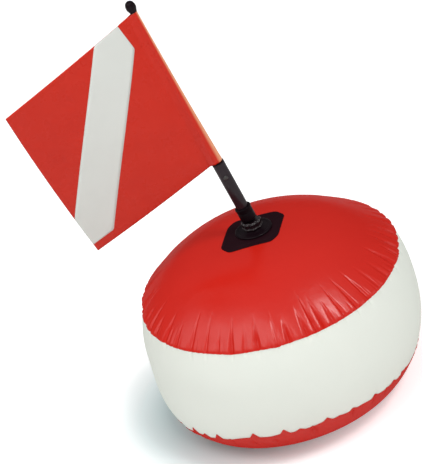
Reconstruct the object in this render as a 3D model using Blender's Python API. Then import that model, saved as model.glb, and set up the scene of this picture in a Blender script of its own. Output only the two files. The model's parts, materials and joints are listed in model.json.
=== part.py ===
"""Inflatable dive flag float: a round air cushion that carries a flag on a tilting mast.

Run with blender --background --python part.py, or from Blender's text editor.
Metres, +Z up. The origin is the centre of the flat that the float rests on, and the
mast leans to -X with the flag flying that way.
"""

import math

import bmesh
import bpy
import numpy as np
from mathutils import Matrix, Vector

# Fits and gaps
gap = 0.0003
ball_clearance = 0.0004
overrun = 0.004

# Float: two domed panels welded to a bulging side band
float_radius = 0.190
seam_radius = 0.176
crown_height = 0.0635
band_height = 0.140
keel_height = 0.050
film_thickness = 0.0009
rest_cut = 0.0005
crown_exponent = 2.6
keel_exponent = 7.0
bulge_exponent = 2.2
pucker_count = 44
pucker_depth = 0.0022
pucker_length = 0.050
band_pucker_length = 0.022

# Ballast under its own patch inside the bottom panel
ballast_radius = 0.034
ballast_thickness = 0.006
pocket_flange_width = 0.009

# Patch that spreads the mast's load over the crown
patch_half_length = 0.047
patch_half_width = 0.0415
patch_thickness = 0.0012
patch_corner_radius = 0.008

# Mast foot: flange, spigot with half of the ball cup, and the ring nut that closes it
mast_offset = 0.002
flange_radius = 0.025
flange_thickness = 0.0022
flange_crown = 0.0026
ball_radius = 0.008
ball_height = 0.010
cup_wall = 0.0018
nut_wall = 0.0028
nut_height = 0.010
nut_lobe_depth = 0.0005
nut_lobe_count = 8
nut_mouth_radius = 0.0067
nut_chamfer = 0.0014

# Socket collar on the ball, and the tube that it holds
mast_lean = math.radians(9.3)
neck_radius = 0.0052
collar_start = 0.0079
collar_end = 0.0295
collar_wall = 0.0021
collar_bead = 0.0008
collar_bead_height = 0.003
tube_radius = 0.0082
tube_wall = 0.0016
tube_end = 0.0996
seat_depth = 0.0185
plug_flange = 0.0012
plug_length = 0.010
bush_length = 0.032
bush_flange = 0.0010

# Rod, rivet and cap
rod_radius = 0.003
rod_end = 0.3355
rod_seat = 0.0305
rivet_radius = 0.0015
rivet_depth = 0.0205
rivet_head_radius = 0.0031
rivet_head_height = 0.0014
rivet_shoulder_share = 0.8
cap_radius = 0.0064
cap_length = 0.0150
cap_mouth_radius = 0.0046
cap_bore_depth = 0.0102

# Flag: one sheet with a sleeve round the rod, and a stripe film on each face
flag_bottom = 0.1020
flag_hoist = 0.2230
flag_width = 0.1980
flag_thickness = 0.0008
flag_yaw_top = math.radians(15.0)
flag_yaw_bottom = math.radians(-2.0)
flag_droop = math.radians(7.4)
flag_sag = math.radians(4.0)
flag_belly = 0.003
sleeve_clearance = 0.00045
sleeve_flare = 0.0035
sleeve_throat = 0.011
loop_mouth = math.radians(40.0)
stripe_lift = 0.0005
stripe_thickness = 0.0004
stripe_outline_shares = {
    "upper_start": (0.315, 0.0),
    "upper_end": (1.0, 0.725),
    "end_corner": (1.0, 0.947),
    "lower_end": (0.825, 0.947),
    "lower_start": (0.105, 0.160),
    "start_corner": (0.130, 0.0),
}

# Inflation valve on the back of the band
valve_bearing = math.radians(30.0)
valve_height = 0.128
valve_flange_radius = 0.016
valve_flange_thickness = 0.0010
valve_flange_dish = 0.0006
valve_neck_radius = 0.0065
valve_bore_radius = 0.0042
valve_reach_out = 0.014
valve_reach_in = 0.010
valve_seat_width = 0.0016
flap_thickness = 0.0010
strap_width = 0.0070
strap_thickness = 0.0026
strap_ring_wall = 0.0020
strap_drop = 0.0012
cap_hinge_reach = 0.0125
cap_hinge_radius = 0.0014
stopper_head_radius = 0.0078
stopper_head_thickness = 0.0022
stopper_nose_length = 0.0026
stopper_nose_radius = 0.0034
stopper_taper = 0.0008

# Line ring low on the back of the band
line_height = 0.086
line_patch_width = 0.052
line_patch_height = 0.044
line_patch_thickness = 0.0010
webbing_width = 0.020
webbing_thickness = 0.0012
webbing_length = 0.014
webbing_rise = 0.0012
ring_wire_radius = 0.0020
ring_half_width = 0.0150
ring_straight = 0.010
ring_corner = 0.003

# Facets
fine_sides = 2 * pucker_count
coarse_sides = pucker_count
round_sides = 32
small_sides = 20
arc_steps = 5
ball_steps = 8
corner_steps = 3
edge_share = 1.2
loop_points = 11
flag_rows, flag_columns = 12, 10
stripe_steps, stripe_strips = 10, 3
bow_steps = 10
sharp_angle = math.radians(35.0)

# Levels that follow from the sizes above
seam_low = keel_height
seam_high = keel_height + band_height
crown_top = seam_high + crown_height
foot_base = crown_top + gap + patch_thickness + gap
pivot = Vector((mast_offset, 0.0, foot_base + ball_height))
cup_radius = ball_radius + ball_clearance
spigot_radius = cup_radius + cup_wall
spigot_top = ball_height - gap
collar_bore = tube_radius + gap
collar_radius = collar_bore + collar_wall
tube_bore = tube_radius - tube_wall
tube_start = collar_end - seat_depth
rod_start = tube_end - rod_seat
rivet_level = tube_end - rivet_depth
plug_fit_radius = tube_bore - gap
cap_seat = max(flag_bottom + flag_hoist + gap, rod_end - cap_bore_depth)
rod_tip = cap_seat + cap_bore_depth
strap_top = valve_reach_out - strap_drop
strap_low = strap_top - strap_thickness
tongue_top = strap_low + strap_thickness / 3


# Scene and materials

def clear_scene():
    for old in list(bpy.data.objects):
        bpy.data.objects.remove(old, do_unlink=True)


def make_material(name, color, roughness, metallic=0.0):
    material = bpy.data.materials.new(name)
    material.use_nodes = True
    shader = material.node_tree.nodes["Principled BSDF"]
    shader.inputs["Base Color"].default_value = (*color, 1.0)
    shader.inputs["Roughness"].default_value = roughness
    shader.inputs["Metallic"].default_value = metallic
    return material


def add_piece(name, mesh, material, parent=None):
    piece = bpy.data.objects.new(name, mesh)
    bpy.context.scene.collection.objects.link(piece)
    mesh.materials.append(material)
    piece.parent = parent
    return piece


def add_frame(name, matrix, parent=None, mesh=None):
    frame = bpy.data.objects.new(name, mesh)
    bpy.context.scene.collection.objects.link(frame)
    frame.parent = parent
    frame.matrix_local = matrix
    return frame


def place(location, angle=0.0, axis="Z"):
    return Matrix.Translation(location) @ Matrix.Rotation(angle, 4, axis)


def combine(piece, operation, tool_mesh, matrix, parent=None):
    """Boolean of a second mesh with a piece; the tool stays in the scene as a hidden guide."""
    tool = add_frame(tool_mesh.name, matrix, parent, tool_mesh)
    tool.hide_render = True
    tool.display_type = "WIRE"
    change = piece.modifiers.new(tool.name, "BOOLEAN")
    change.operation = operation
    change.solver = "EXACT"
    change.object = tool


# Meshes from rings of points

def bridge(first, second):
    """Faces between two rings of equal count, of counts two to one, or of a ring and a pole."""
    a, b = len(first), len(second)
    if a < b:
        return [face[::-1] for face in bridge(second, first)]
    if b == 1:
        return [(first[i], first[(i + 1) % a], second[0]) for i in range(a)]
    if a == b:
        return [(first[i], first[(i + 1) % a], second[(i + 1) % b], second[i]) for i in range(a)]
    faces = []
    for i in range(b):
        left, middle, right = first[2 * i], first[2 * i + 1], first[(2 * i + 2) % a]
        near, far = second[i], second[(i + 1) % b]
        faces += [(left, middle, near), (middle, right, far), (near, middle, far)]
    return faces


def mesh_of(name, vertices, faces):
    mesh = bpy.data.meshes.new(name)
    mesh.from_pydata([tuple(v) for v in vertices], [], faces)
    body = bmesh.new()
    body.from_mesh(mesh)
    bmesh.ops.recalc_face_normals(body, faces=body.faces)
    body.to_mesh(mesh)
    body.free()
    mesh.shade_smooth()
    mesh.set_sharp_from_angle(angle=sharp_angle)
    return mesh


def mesh_of_rings(name, rings, closed=False):
    """Skin a chain of rings; a closed chain joins its last ring to its first."""
    starts = np.cumsum([0] + [len(ring) for ring in rings])
    index = [list(range(starts[k], starts[k + 1])) for k in range(len(rings))]
    pairs = list(zip(index, index[1:]))
    if closed:
        pairs.append((index[-1], index[0]))
    faces = [face for first, second in pairs for face in bridge(first, second)]
    return mesh_of(name, np.vstack(rings), faces)


def ring_points(radius, height, sides=round_sides):
    """A circle of points, or one point where the radius is zero."""
    if np.ndim(radius) == 0 and radius == 0:
        return np.array([[0.0, 0.0, height]])
    turn = np.arange(sides) * (2 * math.pi / sides)
    return np.column_stack([radius * np.cos(turn), radius * np.sin(turn), np.full(sides, height)])


def turned(name, profile, sides=round_sides):
    """Turn a profile of (radius, height) points; one that stays off the axis closes on itself."""
    closed = all(np.min(radius) > 0 for radius, _ in profile)
    return mesh_of_rings(name, [ring_points(r, z, sides) for r, z in profile], closed)


def ball_arc(radius, centre, low, high, steps=arc_steps):
    """Profile points on a ball between two heights measured from its centre."""
    angles = np.linspace(math.asin(low / radius), math.asin(high / radius), steps + 1)
    return [(radius * math.cos(a), centre + radius * math.sin(a)) for a in angles]


# The float's panels

def crown_level(radius):
    return seam_high + crown_height * (1 - (radius / seam_radius) ** crown_exponent)


def crown_slope(radius):
    share = (radius / seam_radius) ** (crown_exponent - 1)
    return -crown_height * crown_exponent * share / seam_radius


def keel_level(radius):
    """The bottom panel's height, cut flat where the float rests."""
    full = keel_height + rest_cut
    return max(0.0, keel_height - full * (1 - (radius / seam_radius) ** keel_exponent))


def keel_slope(radius):
    if keel_level(radius) == 0.0:
        return 0.0
    share = (radius / seam_radius) ** (keel_exponent - 1)
    return (keel_height + rest_cut) * keel_exponent * share / seam_radius


def band_radius(level):
    share = abs(2 * (level - seam_low) / band_height - 1)
    return seam_radius + (float_radius - seam_radius) * (1 - share ** bulge_exponent)


def band_slope(level):
    share = 2 * (level - seam_low) / band_height - 1
    rate = -bulge_exponent * abs(share) ** (bulge_exponent - 1) * math.copysign(1, share)
    return (float_radius - seam_radius) * rate * 2 / band_height


def clear_radius(level):
    """Radius that clears the band at a level: its curve's, or its facets' where that is more."""
    stations = band_stations()
    facets = np.interp(level, [station[1] for station in stations], [station[0] for station in stations])
    return max(band_radius(level), float(facets))


def puckered_ring(radius, level, out, depth, sides):
    """A ring whose every other point is drawn in by depth along the film's outward normal."""
    turn = np.arange(sides) * (2 * math.pi / sides)
    drawn = np.where(np.arange(sides) % 2 == 1, depth, 0.0)
    reach = radius - drawn * out[0]
    return np.column_stack([reach * np.cos(turn), reach * np.sin(turn), level - drawn * out[1]])


def film_rings(stations):
    """Outer and inner rings of a film, for stations of radius, level, normal, depth and sides."""
    outer, inner = [], []
    for radius, level, out, depth, sides in stations:
        inside = (radius - film_thickness * out[0], level - film_thickness * out[1])
        if radius == 0:
            outer.append(ring_points(0, level))
            inner.append(ring_points(0, inside[1]))
            continue
        outer.append(puckered_ring(radius, level, out, depth, sides))
        inner.append(puckered_ring(*inside, out, depth, sides))
    return outer, inner


def normal_of(slope, side):
    """Unit normal (radial, upward) of a surface of given slope, on its upper or lower side."""
    length = math.hypot(slope, 1.0)
    return (-side * slope / length, side / length)


def panel_stations(level_of, slope_of, side, rim_shift, radius_shares):
    """Stations of a domed panel from its pole to its welded rim."""
    stations = []
    for share in radius_shares:
        radius = share * seam_radius
        depth = pucker_depth * max(0.0, 1 - (seam_radius - radius) / pucker_length)
        sides = fine_sides if depth > 0 else coarse_sides
        stations.append((radius, level_of(radius), normal_of(slope_of(radius), side), depth, sides))
    rim = level_of(seam_radius) + rim_shift
    stations.append((seam_radius, rim, (1.0, 0.0), pucker_depth, fine_sides))
    return stations


def make_top_panel(material):
    radius_shares = (0.0, 0.22, 0.42, 0.60, 0.76, 0.89)
    stations = panel_stations(crown_level, crown_slope, 1, gap / 2, radius_shares)
    outer, inner = film_rings(stations)
    add_piece("top_panel", mesh_of_rings("top_panel", outer + inner[::-1]), material)


def make_bottom_panel(material):
    flat_share = (rest_cut / (keel_height + rest_cut)) ** (1 / keel_exponent)
    radius_shares = (0.0, flat_share, 0.68, 0.82, 0.92)
    stations = panel_stations(keel_level, keel_slope, -1, -gap / 2, radius_shares)
    outer, inner = film_rings(stations)
    add_piece("bottom_panel", mesh_of_rings("bottom_panel", outer + inner[::-1]), material)


def band_stations():
    height_shares = (0.08, 0.22, 0.38, 0.5, 0.62, 0.78, 0.92)
    bottom, top = seam_low + gap / 2, seam_high - gap / 2
    stations = [(seam_radius, bottom, (1.0, 0.0), pucker_depth, fine_sides)]
    for share in height_shares:
        level = bottom + share * (top - bottom)
        slope = band_slope(level)
        length = math.hypot(slope, 1.0)
        reach = min(level - bottom, top - level)
        depth = pucker_depth * max(0.0, 1 - reach / band_pucker_length)
        sides = fine_sides if depth > 0 else coarse_sides
        stations.append((band_radius(level), level, (1 / length, -slope / length), depth, sides))
    stations.append((seam_radius, top, (1.0, 0.0), pucker_depth, fine_sides))
    return stations


def make_side_band(material):
    outer, inner = film_rings(band_stations())
    mesh = mesh_of_rings("side_band", outer + inner[::-1], closed=True)
    band = add_piece("side_band", mesh, material)
    bore = valve_neck_radius + gap
    profile = [(0, -valve_reach_in), (bore, -valve_reach_in), (bore, overrun), (0, overrun)]
    hole = turned("valve_hole_cutter", profile, small_sides)
    combine(band, "DIFFERENCE", hole, valve_matrix())


# Ballast

def make_ballast(metal, film):
    floor = film_thickness + gap
    profile = [(0, floor), (ballast_radius, floor), (ballast_radius, floor + ballast_thickness),
               (0, floor + ballast_thickness)]
    add_piece("ballast_weight", turned("ballast_weight", profile), metal)
    roof = floor + ballast_thickness + gap
    wall = ballast_radius + gap
    rim = wall + film_thickness + pocket_flange_width
    profile = [(0, roof), (wall, roof), (wall, floor), (rim, floor), (rim, floor + film_thickness),
               (wall + film_thickness, floor + film_thickness),
               (wall + film_thickness, roof + film_thickness), (0, roof + film_thickness)]
    add_piece("ballast_pocket", turned("ballast_pocket", profile), film)


# Patches that follow the film under them

def rounded_outline(corners, radius):
    """Corner points of a convex outline, each rounded by an arc of the given radius."""
    points = []
    for before, corner, after in zip(corners[-1:] + corners[:-1], corners, corners[1:] + corners[:1]):
        into, out = (corner - before).normalized(), (after - corner).normalized()
        turn = math.acos(max(-1.0, min(1.0, into.dot(out))))
        back = radius * math.tan(turn / 2)
        centre = corner - into * back + Vector((-into.y, into.x)) * radius
        start = corner - into * back - centre
        for step in range(corner_steps + 1):
            spoke = start.copy()
            spoke.rotate(Matrix.Rotation(turn * step / corner_steps, 2))
            points.append(centre + spoke)
    return with_short_edges(points, radius * edge_share)


def with_short_edges(points, longest):
    """The same outline with points added so that no edge is longer than the given length."""
    dense = []
    for start, end in zip(points, points[1:] + points[:1]):
        count = max(1, math.ceil((end - start).length / longest))
        dense += [start.lerp(end, k / count) for k in range(count)]
    return dense


def patch_mesh(name, outline, thickness, place_point, inner_shares=(0.4, 0.75)):
    """A plate over an outline about its centre, laid on a surface by place_point(x, y, lift)."""
    edge = np.array([tuple(point) for point in outline])
    flat = [np.zeros((1, 2))] + [edge * share for share in inner_shares] + [edge]
    low = [np.array([place_point(x, y, gap) for x, y in ring]) for ring in flat]
    high = [np.array([place_point(x, y, gap + thickness) for x, y in ring]) for ring in flat]
    return mesh_of_rings(name, low + high[::-1])


def make_mast_patch(material):
    corner_shares = ((-0.81, -0.80), (0.40, -0.98), (0.64, -0.73), (1.0, 0.40))
    half = [Vector((x * patch_half_length, y * patch_half_width)) for x, y in corner_shares]
    corners = half + [-corner for corner in half]

    def on_crown(x, y, lift):
        return (x, y, crown_level(math.hypot(x, y)) + lift)

    outline = rounded_outline(corners, patch_corner_radius)
    mesh = patch_mesh("mast_patch", outline, patch_thickness, on_crown)
    add_piece("mast_patch", mesh, material)


# Mast foot, nut and socket

def make_mast_foot(material):
    rise = flange_thickness + flange_crown
    step = spigot_radius + flange_crown / 2
    profile = [(0, 0), (flange_radius, 0), (flange_radius, flange_thickness / 2),
               (flange_radius - flange_thickness / 2, flange_thickness), (step, rise - flange_crown / 2),
               (spigot_radius, rise), (spigot_radius, spigot_top)]
    profile += ball_arc(cup_radius, ball_height, -gap, -cup_radius + gap)
    profile.append((0, ball_height - cup_radius))
    foot = add_piece("mast_foot", turned("mast_foot", profile), material)
    foot.location = (mast_offset, 0.0, foot_base)


def lobed(radius):
    turn = np.arange(round_sides) * (2 * math.pi / round_sides)
    return radius + nut_lobe_depth * np.cos(nut_lobe_count * turn)


def make_clamp_nut(material, frame):
    """Ring nut: its skirt goes round the spigot, and its roof holds the ball down."""
    bore = spigot_radius + gap
    outside = bore + nut_wall
    bottom = flange_thickness + flange_crown + gap - ball_height
    top = bottom + nut_height
    mouth_level = math.sqrt(cup_radius ** 2 - nut_mouth_radius ** 2)
    profile = [(bore, bottom), (lobed(outside), bottom), (lobed(outside), top - nut_chamfer),
               (outside - nut_chamfer, top), (nut_mouth_radius + gap, top)]
    profile += ball_arc(cup_radius, 0.0, mouth_level, gap)
    profile += [(cup_radius, 0.0), (bore, 0.0)]
    add_piece("clamp_nut", turned("clamp_nut", profile), material, frame)


def make_mast_socket(material, frame):
    neck_level = math.sqrt(ball_radius ** 2 - neck_radius ** 2)
    edge = collar_wall / 2
    floor = tube_start - gap
    profile = [(0, -ball_radius)] + ball_arc(ball_radius, 0.0, -ball_radius + gap, neck_level, ball_steps)
    profile += [(neck_radius, collar_start), (collar_radius - edge, collar_start),
                (collar_radius, collar_start + edge), (collar_radius, collar_end - collar_bead_height),
                (collar_radius + collar_bead, collar_end - collar_bead_height + collar_bead),
                (collar_radius + collar_bead, collar_end - collar_bead),
                (collar_radius, collar_end), (collar_bore, collar_end), (collar_bore, floor), (0, floor)]
    add_piece("mast_socket", turned("mast_socket", profile), material, frame)


# Mast: tube, plug, bush, rod, rivet and cap

def rivet_hole(piece, frame):
    radius = rivet_radius + gap
    reach = tube_radius + overrun
    mesh = turned(piece.name + "_rivet_cutter",
                  [(0, -reach), (radius, -reach), (radius, reach), (0, reach)], small_sides)
    combine(piece, "DIFFERENCE", mesh, place((0, 0, rivet_level), math.pi / 2, "X"), frame)


def make_tube(material, frame):
    start = tube_start + plug_flange + gap
    edge = gap
    profile = [(tube_bore, start), (tube_radius - edge, start), (tube_radius, start + edge),
               (tube_radius, tube_end - edge), (tube_radius - edge, tube_end), (tube_bore, tube_end)]
    tube = add_piece("mast_tube", turned("mast_tube", profile), material, frame)
    rivet_hole(tube, frame)


def make_tube_plug(material, frame):
    flange_top = tube_start + plug_flange
    profile = [(0, tube_start), (tube_radius, tube_start), (tube_radius, flange_top),
               (plug_fit_radius, flange_top), (plug_fit_radius, flange_top + plug_length),
               (0, flange_top + plug_length)]
    add_piece("tube_plug", turned("tube_plug", profile), material, frame)


def make_rod_bush(material, frame):
    """Blind bush in the tube's top end, with a flange over the tube's rim."""
    seat = tube_end + gap
    top = seat + bush_flange
    bore = rod_radius + gap
    profile = [(0, tube_end - bush_length), (plug_fit_radius, tube_end - bush_length),
               (plug_fit_radius, seat), (tube_radius, seat), (tube_radius, top), (bore, top),
               (bore, rod_start - gap), (0, rod_start - gap)]
    bush = add_piece("rod_bush", turned("rod_bush", profile, small_sides), material, frame)
    rivet_hole(bush, frame)


def make_rod(material, frame):
    profile = [(0, rod_start), (rod_radius, rod_start), (rod_radius, rod_tip), (0, rod_tip)]
    rod = add_piece("flag_rod", turned("flag_rod", profile, small_sides), material, frame)
    rivet_hole(rod, frame)


def make_rivet(material, frame):
    seat = tube_radius + gap
    head = [(rivet_radius, seat), (rivet_head_radius, seat),
            (rivet_head_radius * rivet_shoulder_share, seat + rivet_head_height / 2),
            (0, seat + rivet_head_height)]
    profile = [(radius, -level) for radius, level in head[::-1]] + head
    rivet = add_piece("mast_rivet", turned("mast_rivet", profile, small_sides), material, frame)
    rivet.matrix_local = place((0, 0, rivet_level), math.pi / 2, "X")


def make_mast_cap(material, frame):
    """Round knob whose blind bore takes the rod's tip."""
    bore = rod_radius + gap
    outline_shares = ((0.78, 0.14), (0.97, 0.32), (1.0, 0.50), (0.93, 0.68), (0.70, 0.86), (0.38, 0.96))
    profile = [(0, rod_tip + gap), (bore, rod_tip + gap), (bore, cap_seat), (cap_mouth_radius, cap_seat)]
    profile += [(radius * cap_radius, cap_seat + level * cap_length) for radius, level in outline_shares]
    profile += [(0, cap_seat + cap_length)]
    add_piece("mast_cap", turned("mast_cap", profile, small_sides), material, frame)


# Flag

def flag_yaw(down):
    return flag_yaw_top + (flag_yaw_bottom - flag_yaw_top) * down


def flag_point(across, down, lift=0.0):
    """Point of the flag's middle surface in the mast's frame, lifted along its normal."""
    yaw, droop = flag_yaw(down), flag_droop + flag_sag * down
    reach = across * flag_width
    belly = flag_belly * math.sin(math.pi * across) + lift
    flat = reach * math.cos(droop)
    x = -flat * math.cos(yaw) + belly * math.sin(yaw)
    y = -flat * math.sin(yaw) - belly * math.cos(yaw)
    z = flag_bottom + flag_hoist * (1 - down) - reach * math.sin(droop)
    return np.array([x, y, z])


def sleeve_sheet(name, rows, thickness, tail_points, throat):
    """A sheet whose edge is looped round an axis and welded to itself.

    rows gives (level, bearing, loop radius) along the axis; tail_points(row, side) gives
    the sheet's two faces; throat is where the loop's sides have come together.
    """
    turn = np.linspace(loop_mouth, 2 * math.pi - loop_mouth, loop_points)
    vertices, faces = [], []
    for row, (level, bearing, inner_radius) in enumerate(rows):
        outer_radius = inner_radius + thickness
        spokes = [(math.cos(bearing + a), math.sin(bearing + a)) for a in turn]
        loop = [(outer_radius * x, outer_radius * y, level) for x, y in spokes]
        bore = [(inner_radius * x, inner_radius * y, level) for x, y in spokes]
        tip = throat - thickness
        bore.append((tip * math.cos(bearing), tip * math.sin(bearing), level))
        left, right = tail_points(row, 1), tail_points(row, -1)
        vertices += loop + list(right) + list(left)[::-1] + bore
    around = len(turn)
    tail = len(left)
    outside, inside = around + 2 * tail, around + 1
    stride = outside + inside
    for row in range(len(rows) - 1):
        base, above = row * stride, (row + 1) * stride
        for k in range(outside):
            nxt = (k + 1) % outside
            faces.append((base + k, base + nxt, above + nxt, above + k))
        for k in range(inside):
            nxt = (k + 1) % inside
            a, b = outside + k, outside + nxt
            faces.append((base + b, base + a, above + a, above + b))
    for base in (0, (len(rows) - 1) * stride):
        bore = [base + outside + k for k in range(inside)]
        loop = [base + k for k in range(around)]
        right = [base + around + k for k in range(tail)]
        left = [base + outside - 1 - k for k in range(tail)]
        tip = bore[-1]
        cap = [(loop[k], loop[k + 1], bore[k + 1], bore[k]) for k in range(around - 1)]
        cap += [(loop[0], bore[0], tip), (loop[0], tip, left[0]), (left[0], tip, right[0])]
        cap += [(tip, loop[-1], right[0]), (loop[-1], tip, bore[-2])]
        cap += [(left[k], left[k + 1], right[k + 1], right[k]) for k in range(tail - 1)]
        faces += cap
    return mesh_of(name, vertices, faces)


def make_flag_sheet(material, frame):
    downs = [k / flag_rows for k in range(flag_rows + 1)]
    start = sleeve_throat / flag_width
    acrosses = [start + (1 - start) * k / flag_columns for k in range(flag_columns + 1)]
    rows = []
    for down in downs:
        loose = rod_radius + sleeve_clearance + sleeve_flare * down ** 2
        rows.append((flag_bottom + flag_hoist * (1 - down), math.pi + flag_yaw(down), loose))

    def tail_points(row, side):
        return [flag_point(across, downs[row], side * flag_thickness / 2) for across in acrosses]

    mesh = sleeve_sheet("flag_sheet", rows, flag_thickness, tail_points, sleeve_throat)
    add_piece("flag_sheet", mesh, material, frame)


def stripe_rows():
    """Rows of (across, down) shares that fill the stripe from its start to its end corner."""
    shares = {key: np.array(value) for key, value in stripe_outline_shares.items()}
    rows = [[shares["start_corner"]]]
    for k in range(stripe_steps + 1):
        way = k / stripe_steps
        upper = shares["upper_start"] + (shares["upper_end"] - shares["upper_start"]) * way
        lower = shares["lower_start"] + (shares["lower_end"] - shares["lower_start"]) * way
        rows.append([upper + (lower - upper) * j / stripe_strips for j in range(stripe_strips + 1)])
    rows.append([shares["end_corner"]])
    return rows


def sheet_faces(index):
    """Faces between rows of vertex numbers; a row of one number is a corner."""
    faces = []
    for near, far in zip(index, index[1:]):
        for j in range(max(len(near), len(far)) - 1):
            if len(near) == 1:
                faces.append((near[0], far[j], far[j + 1]))
            elif len(far) == 1:
                faces.append((near[j], near[j + 1], far[0]))
            else:
                faces.append((near[j], near[j + 1], far[j + 1], far[j]))
    return faces


def make_flag_stripe(name, side, material, frame):
    """Film on one face of the flag, filling the stripe's outline."""
    rows = stripe_rows()
    low = flag_thickness / 2 + stripe_lift
    vertices = [flag_point(*share, side * lift) for lift in (low, low + stripe_thickness)
                for row in rows for share in row]
    starts = np.cumsum([0] + [len(row) for row in rows])
    index = [list(range(start, start + len(row))) for start, row in zip(starts, rows)]
    count = int(starts[-1])
    faces = sheet_faces(index)
    faces += [tuple(corner + count for corner in face) for face in faces]
    border = [row[0] for row in index] + [row[-1] for row in index[-2:0:-1]]
    faces += [(a, b, count + b, count + a) for a, b in zip(border, border[1:] + border[:1])]
    add_piece(name, mesh_of(name, vertices, faces), material, frame)


# Inflation valve

def outward(bearing, level):
    """Matrix at a point of the band with its Z out of the film and its X along the band."""
    radius = band_radius(level)
    spot = Vector((radius * math.sin(bearing), radius * math.cos(bearing), level))
    normal = Vector((math.sin(bearing), math.cos(bearing), -band_slope(level))).normalized()
    along = Vector((-math.cos(bearing), math.sin(bearing), 0.0))
    turn = Matrix((along, normal.cross(along), normal)).transposed().to_4x4()
    return Matrix.Translation(spot) @ turn


def valve_matrix():
    return outward(valve_bearing, valve_height)


def flange_rim():
    """Level of the flange's rim: as low as its dish lets it lie on the band round it."""
    frame = valve_matrix()
    turns = np.arange(small_sides) * (2 * math.pi / small_sides)
    spots = [frame @ Vector((valve_flange_radius * math.cos(turn), valve_flange_radius * math.sin(turn), 0.0))
             for turn in turns]
    rise = max(clear_radius(spot.z) - math.hypot(spot.x, spot.y) for spot in spots)
    return gap + max(rise, -valve_flange_dish)


def make_valve_stem(material, frame):
    neck, rim = valve_neck_radius, flange_rim()
    seat = gap + valve_flange_thickness
    inner_end = -valve_reach_in
    profile = [(valve_bore_radius, inner_end), (neck, inner_end), (neck, gap),
               (valve_flange_radius, rim), (valve_flange_radius, rim + valve_flange_thickness / 2),
               (neck + valve_flange_thickness, seat), (neck, seat + valve_flange_thickness),
               (neck, valve_reach_out), (valve_bore_radius, valve_reach_out)]
    add_piece("valve_stem", turned("valve_stem", profile, small_sides), material, frame)


def make_valve_flap(material, frame):
    """Non-return flap: a disc over the stem's inner end, held at one side."""
    top = -valve_reach_in - gap
    disc_radius = valve_bore_radius + valve_seat_width
    profile = [(0, top - flap_thickness), (disc_radius, top - flap_thickness), (disc_radius, top), (0, top)]
    add_piece("valve_flap", turned("valve_flap", profile, small_sides), material, frame)


def box_mesh(name, low, high):
    body = bmesh.new()
    bmesh.ops.create_cube(body, size=1.0)
    size = Vector(high) - Vector(low)
    middle = (Vector(high) + Vector(low)) / 2
    bmesh.ops.transform(body, matrix=Matrix.Translation(middle) @ Matrix.Diagonal((*size, 1.0)),
                        verts=body.verts)
    mesh = bpy.data.meshes.new(name)
    body.to_mesh(mesh)
    body.free()
    return mesh


def make_valve_strap(material, frame):
    """Strap ring round the stem's neck with a tongue that carries the cap's hinge."""
    inner = valve_neck_radius + gap
    outer = inner + strap_ring_wall
    profile = [(inner, strap_low), (outer, strap_low), (outer, strap_top), (inner, strap_top)]
    strap = add_piece("valve_strap", turned("valve_strap", profile, small_sides), material, frame)
    root = outer - strap_ring_wall / 2
    tongue = box_mesh("strap_tongue", (root, -strap_width / 2, strap_low - strap_thickness / 3),
                      (cap_hinge_reach + cap_hinge_radius, strap_width / 2, tongue_top))
    combine(strap, "UNION", tongue, Matrix.Identity(4), frame)


def make_valve_cap(material, frame):
    """Snap-on cap: head, tapered nose, and an arm that ends in the hinge barrel."""
    seat = valve_reach_out + gap
    hinge = Vector((cap_hinge_reach, 0.0, tongue_top + gap + cap_hinge_radius))
    cap_frame = add_frame("valve_cap_axis", Matrix.Translation(hinge), frame)
    nose, top = seat - stopper_nose_length, seat + stopper_head_thickness
    profile = [(0, nose), (stopper_nose_radius - stopper_taper, nose), (stopper_nose_radius, seat),
               (stopper_head_radius, seat), (stopper_head_radius, top - stopper_taper),
               (stopper_head_radius - stopper_taper, top), (0, top)]
    head = turned("valve_cap", profile, small_sides)
    head.transform(Matrix.Translation(-hinge))
    cap = add_piece("valve_cap", head, material, cap_frame)
    barrel = turned("cap_barrel", [(0, -strap_width / 2), (cap_hinge_radius, -strap_width / 2),
                                   (cap_hinge_radius, strap_width / 2), (0, strap_width / 2)], small_sides)
    combine(cap, "UNION", barrel, Matrix.Rotation(math.pi / 2, 4, "X"), cap_frame)
    arm_start = valve_neck_radius + 2 * gap - cap_hinge_reach
    arm_top = seat + stopper_head_thickness / 2 - hinge.z
    arm = box_mesh("cap_arm", (arm_start, gap - strap_width / 2, cap_hinge_radius / 2),
                   (0.0, strap_width / 2 - gap, arm_top))
    combine(cap, "UNION", arm, Matrix.Identity(4), cap_frame)


# Line ring

def on_band(x, y, lift):
    """Point of the band's back at x along it and y up from the line patch's middle."""
    level = line_height + y
    slope = band_slope(level)
    length = math.hypot(slope, 1.0)
    bearing = x / float_radius
    reach = clear_radius(level) + lift / length
    return (reach * math.sin(bearing), reach * math.cos(bearing), level - lift * slope / length)


def make_line_patch(material):
    half_width, half_height = line_patch_width / 2, line_patch_height / 2
    corners = [Vector(corner) for corner in ((-half_width, -half_height), (half_width, -half_height),
                                             (half_width, half_height), (-half_width, half_height))]
    outline = rounded_outline(corners, patch_corner_radius)
    mesh = patch_mesh("line_patch", outline, line_patch_thickness, on_band)
    add_piece("line_patch", mesh, material)


def off_patch(level, lift):
    """Distance from the float's axis of a point that is lifted off the line patch."""
    height = gap + line_patch_thickness + gap + lift
    return clear_radius(level) + height * math.hypot(band_slope(level), 1.0)


def webbing_reach(level):
    """Distance from the float's axis of the webbing's middle, where it lies on the patch."""
    return off_patch(level, webbing_thickness)


def ring_axis():
    """Centre of the ring's straight bar: its webbing and the bow below it both clear the patch."""
    bow_levels = np.linspace(line_height - ring_straight - ring_half_width, line_height, bow_steps)
    bow_reach = max(off_patch(level, ring_wire_radius) for level in bow_levels)
    bar_reach = off_patch(line_height, webbing_thickness + gap + ring_wire_radius)
    return Vector((0.0, max(bar_reach, bow_reach), line_height))


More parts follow.
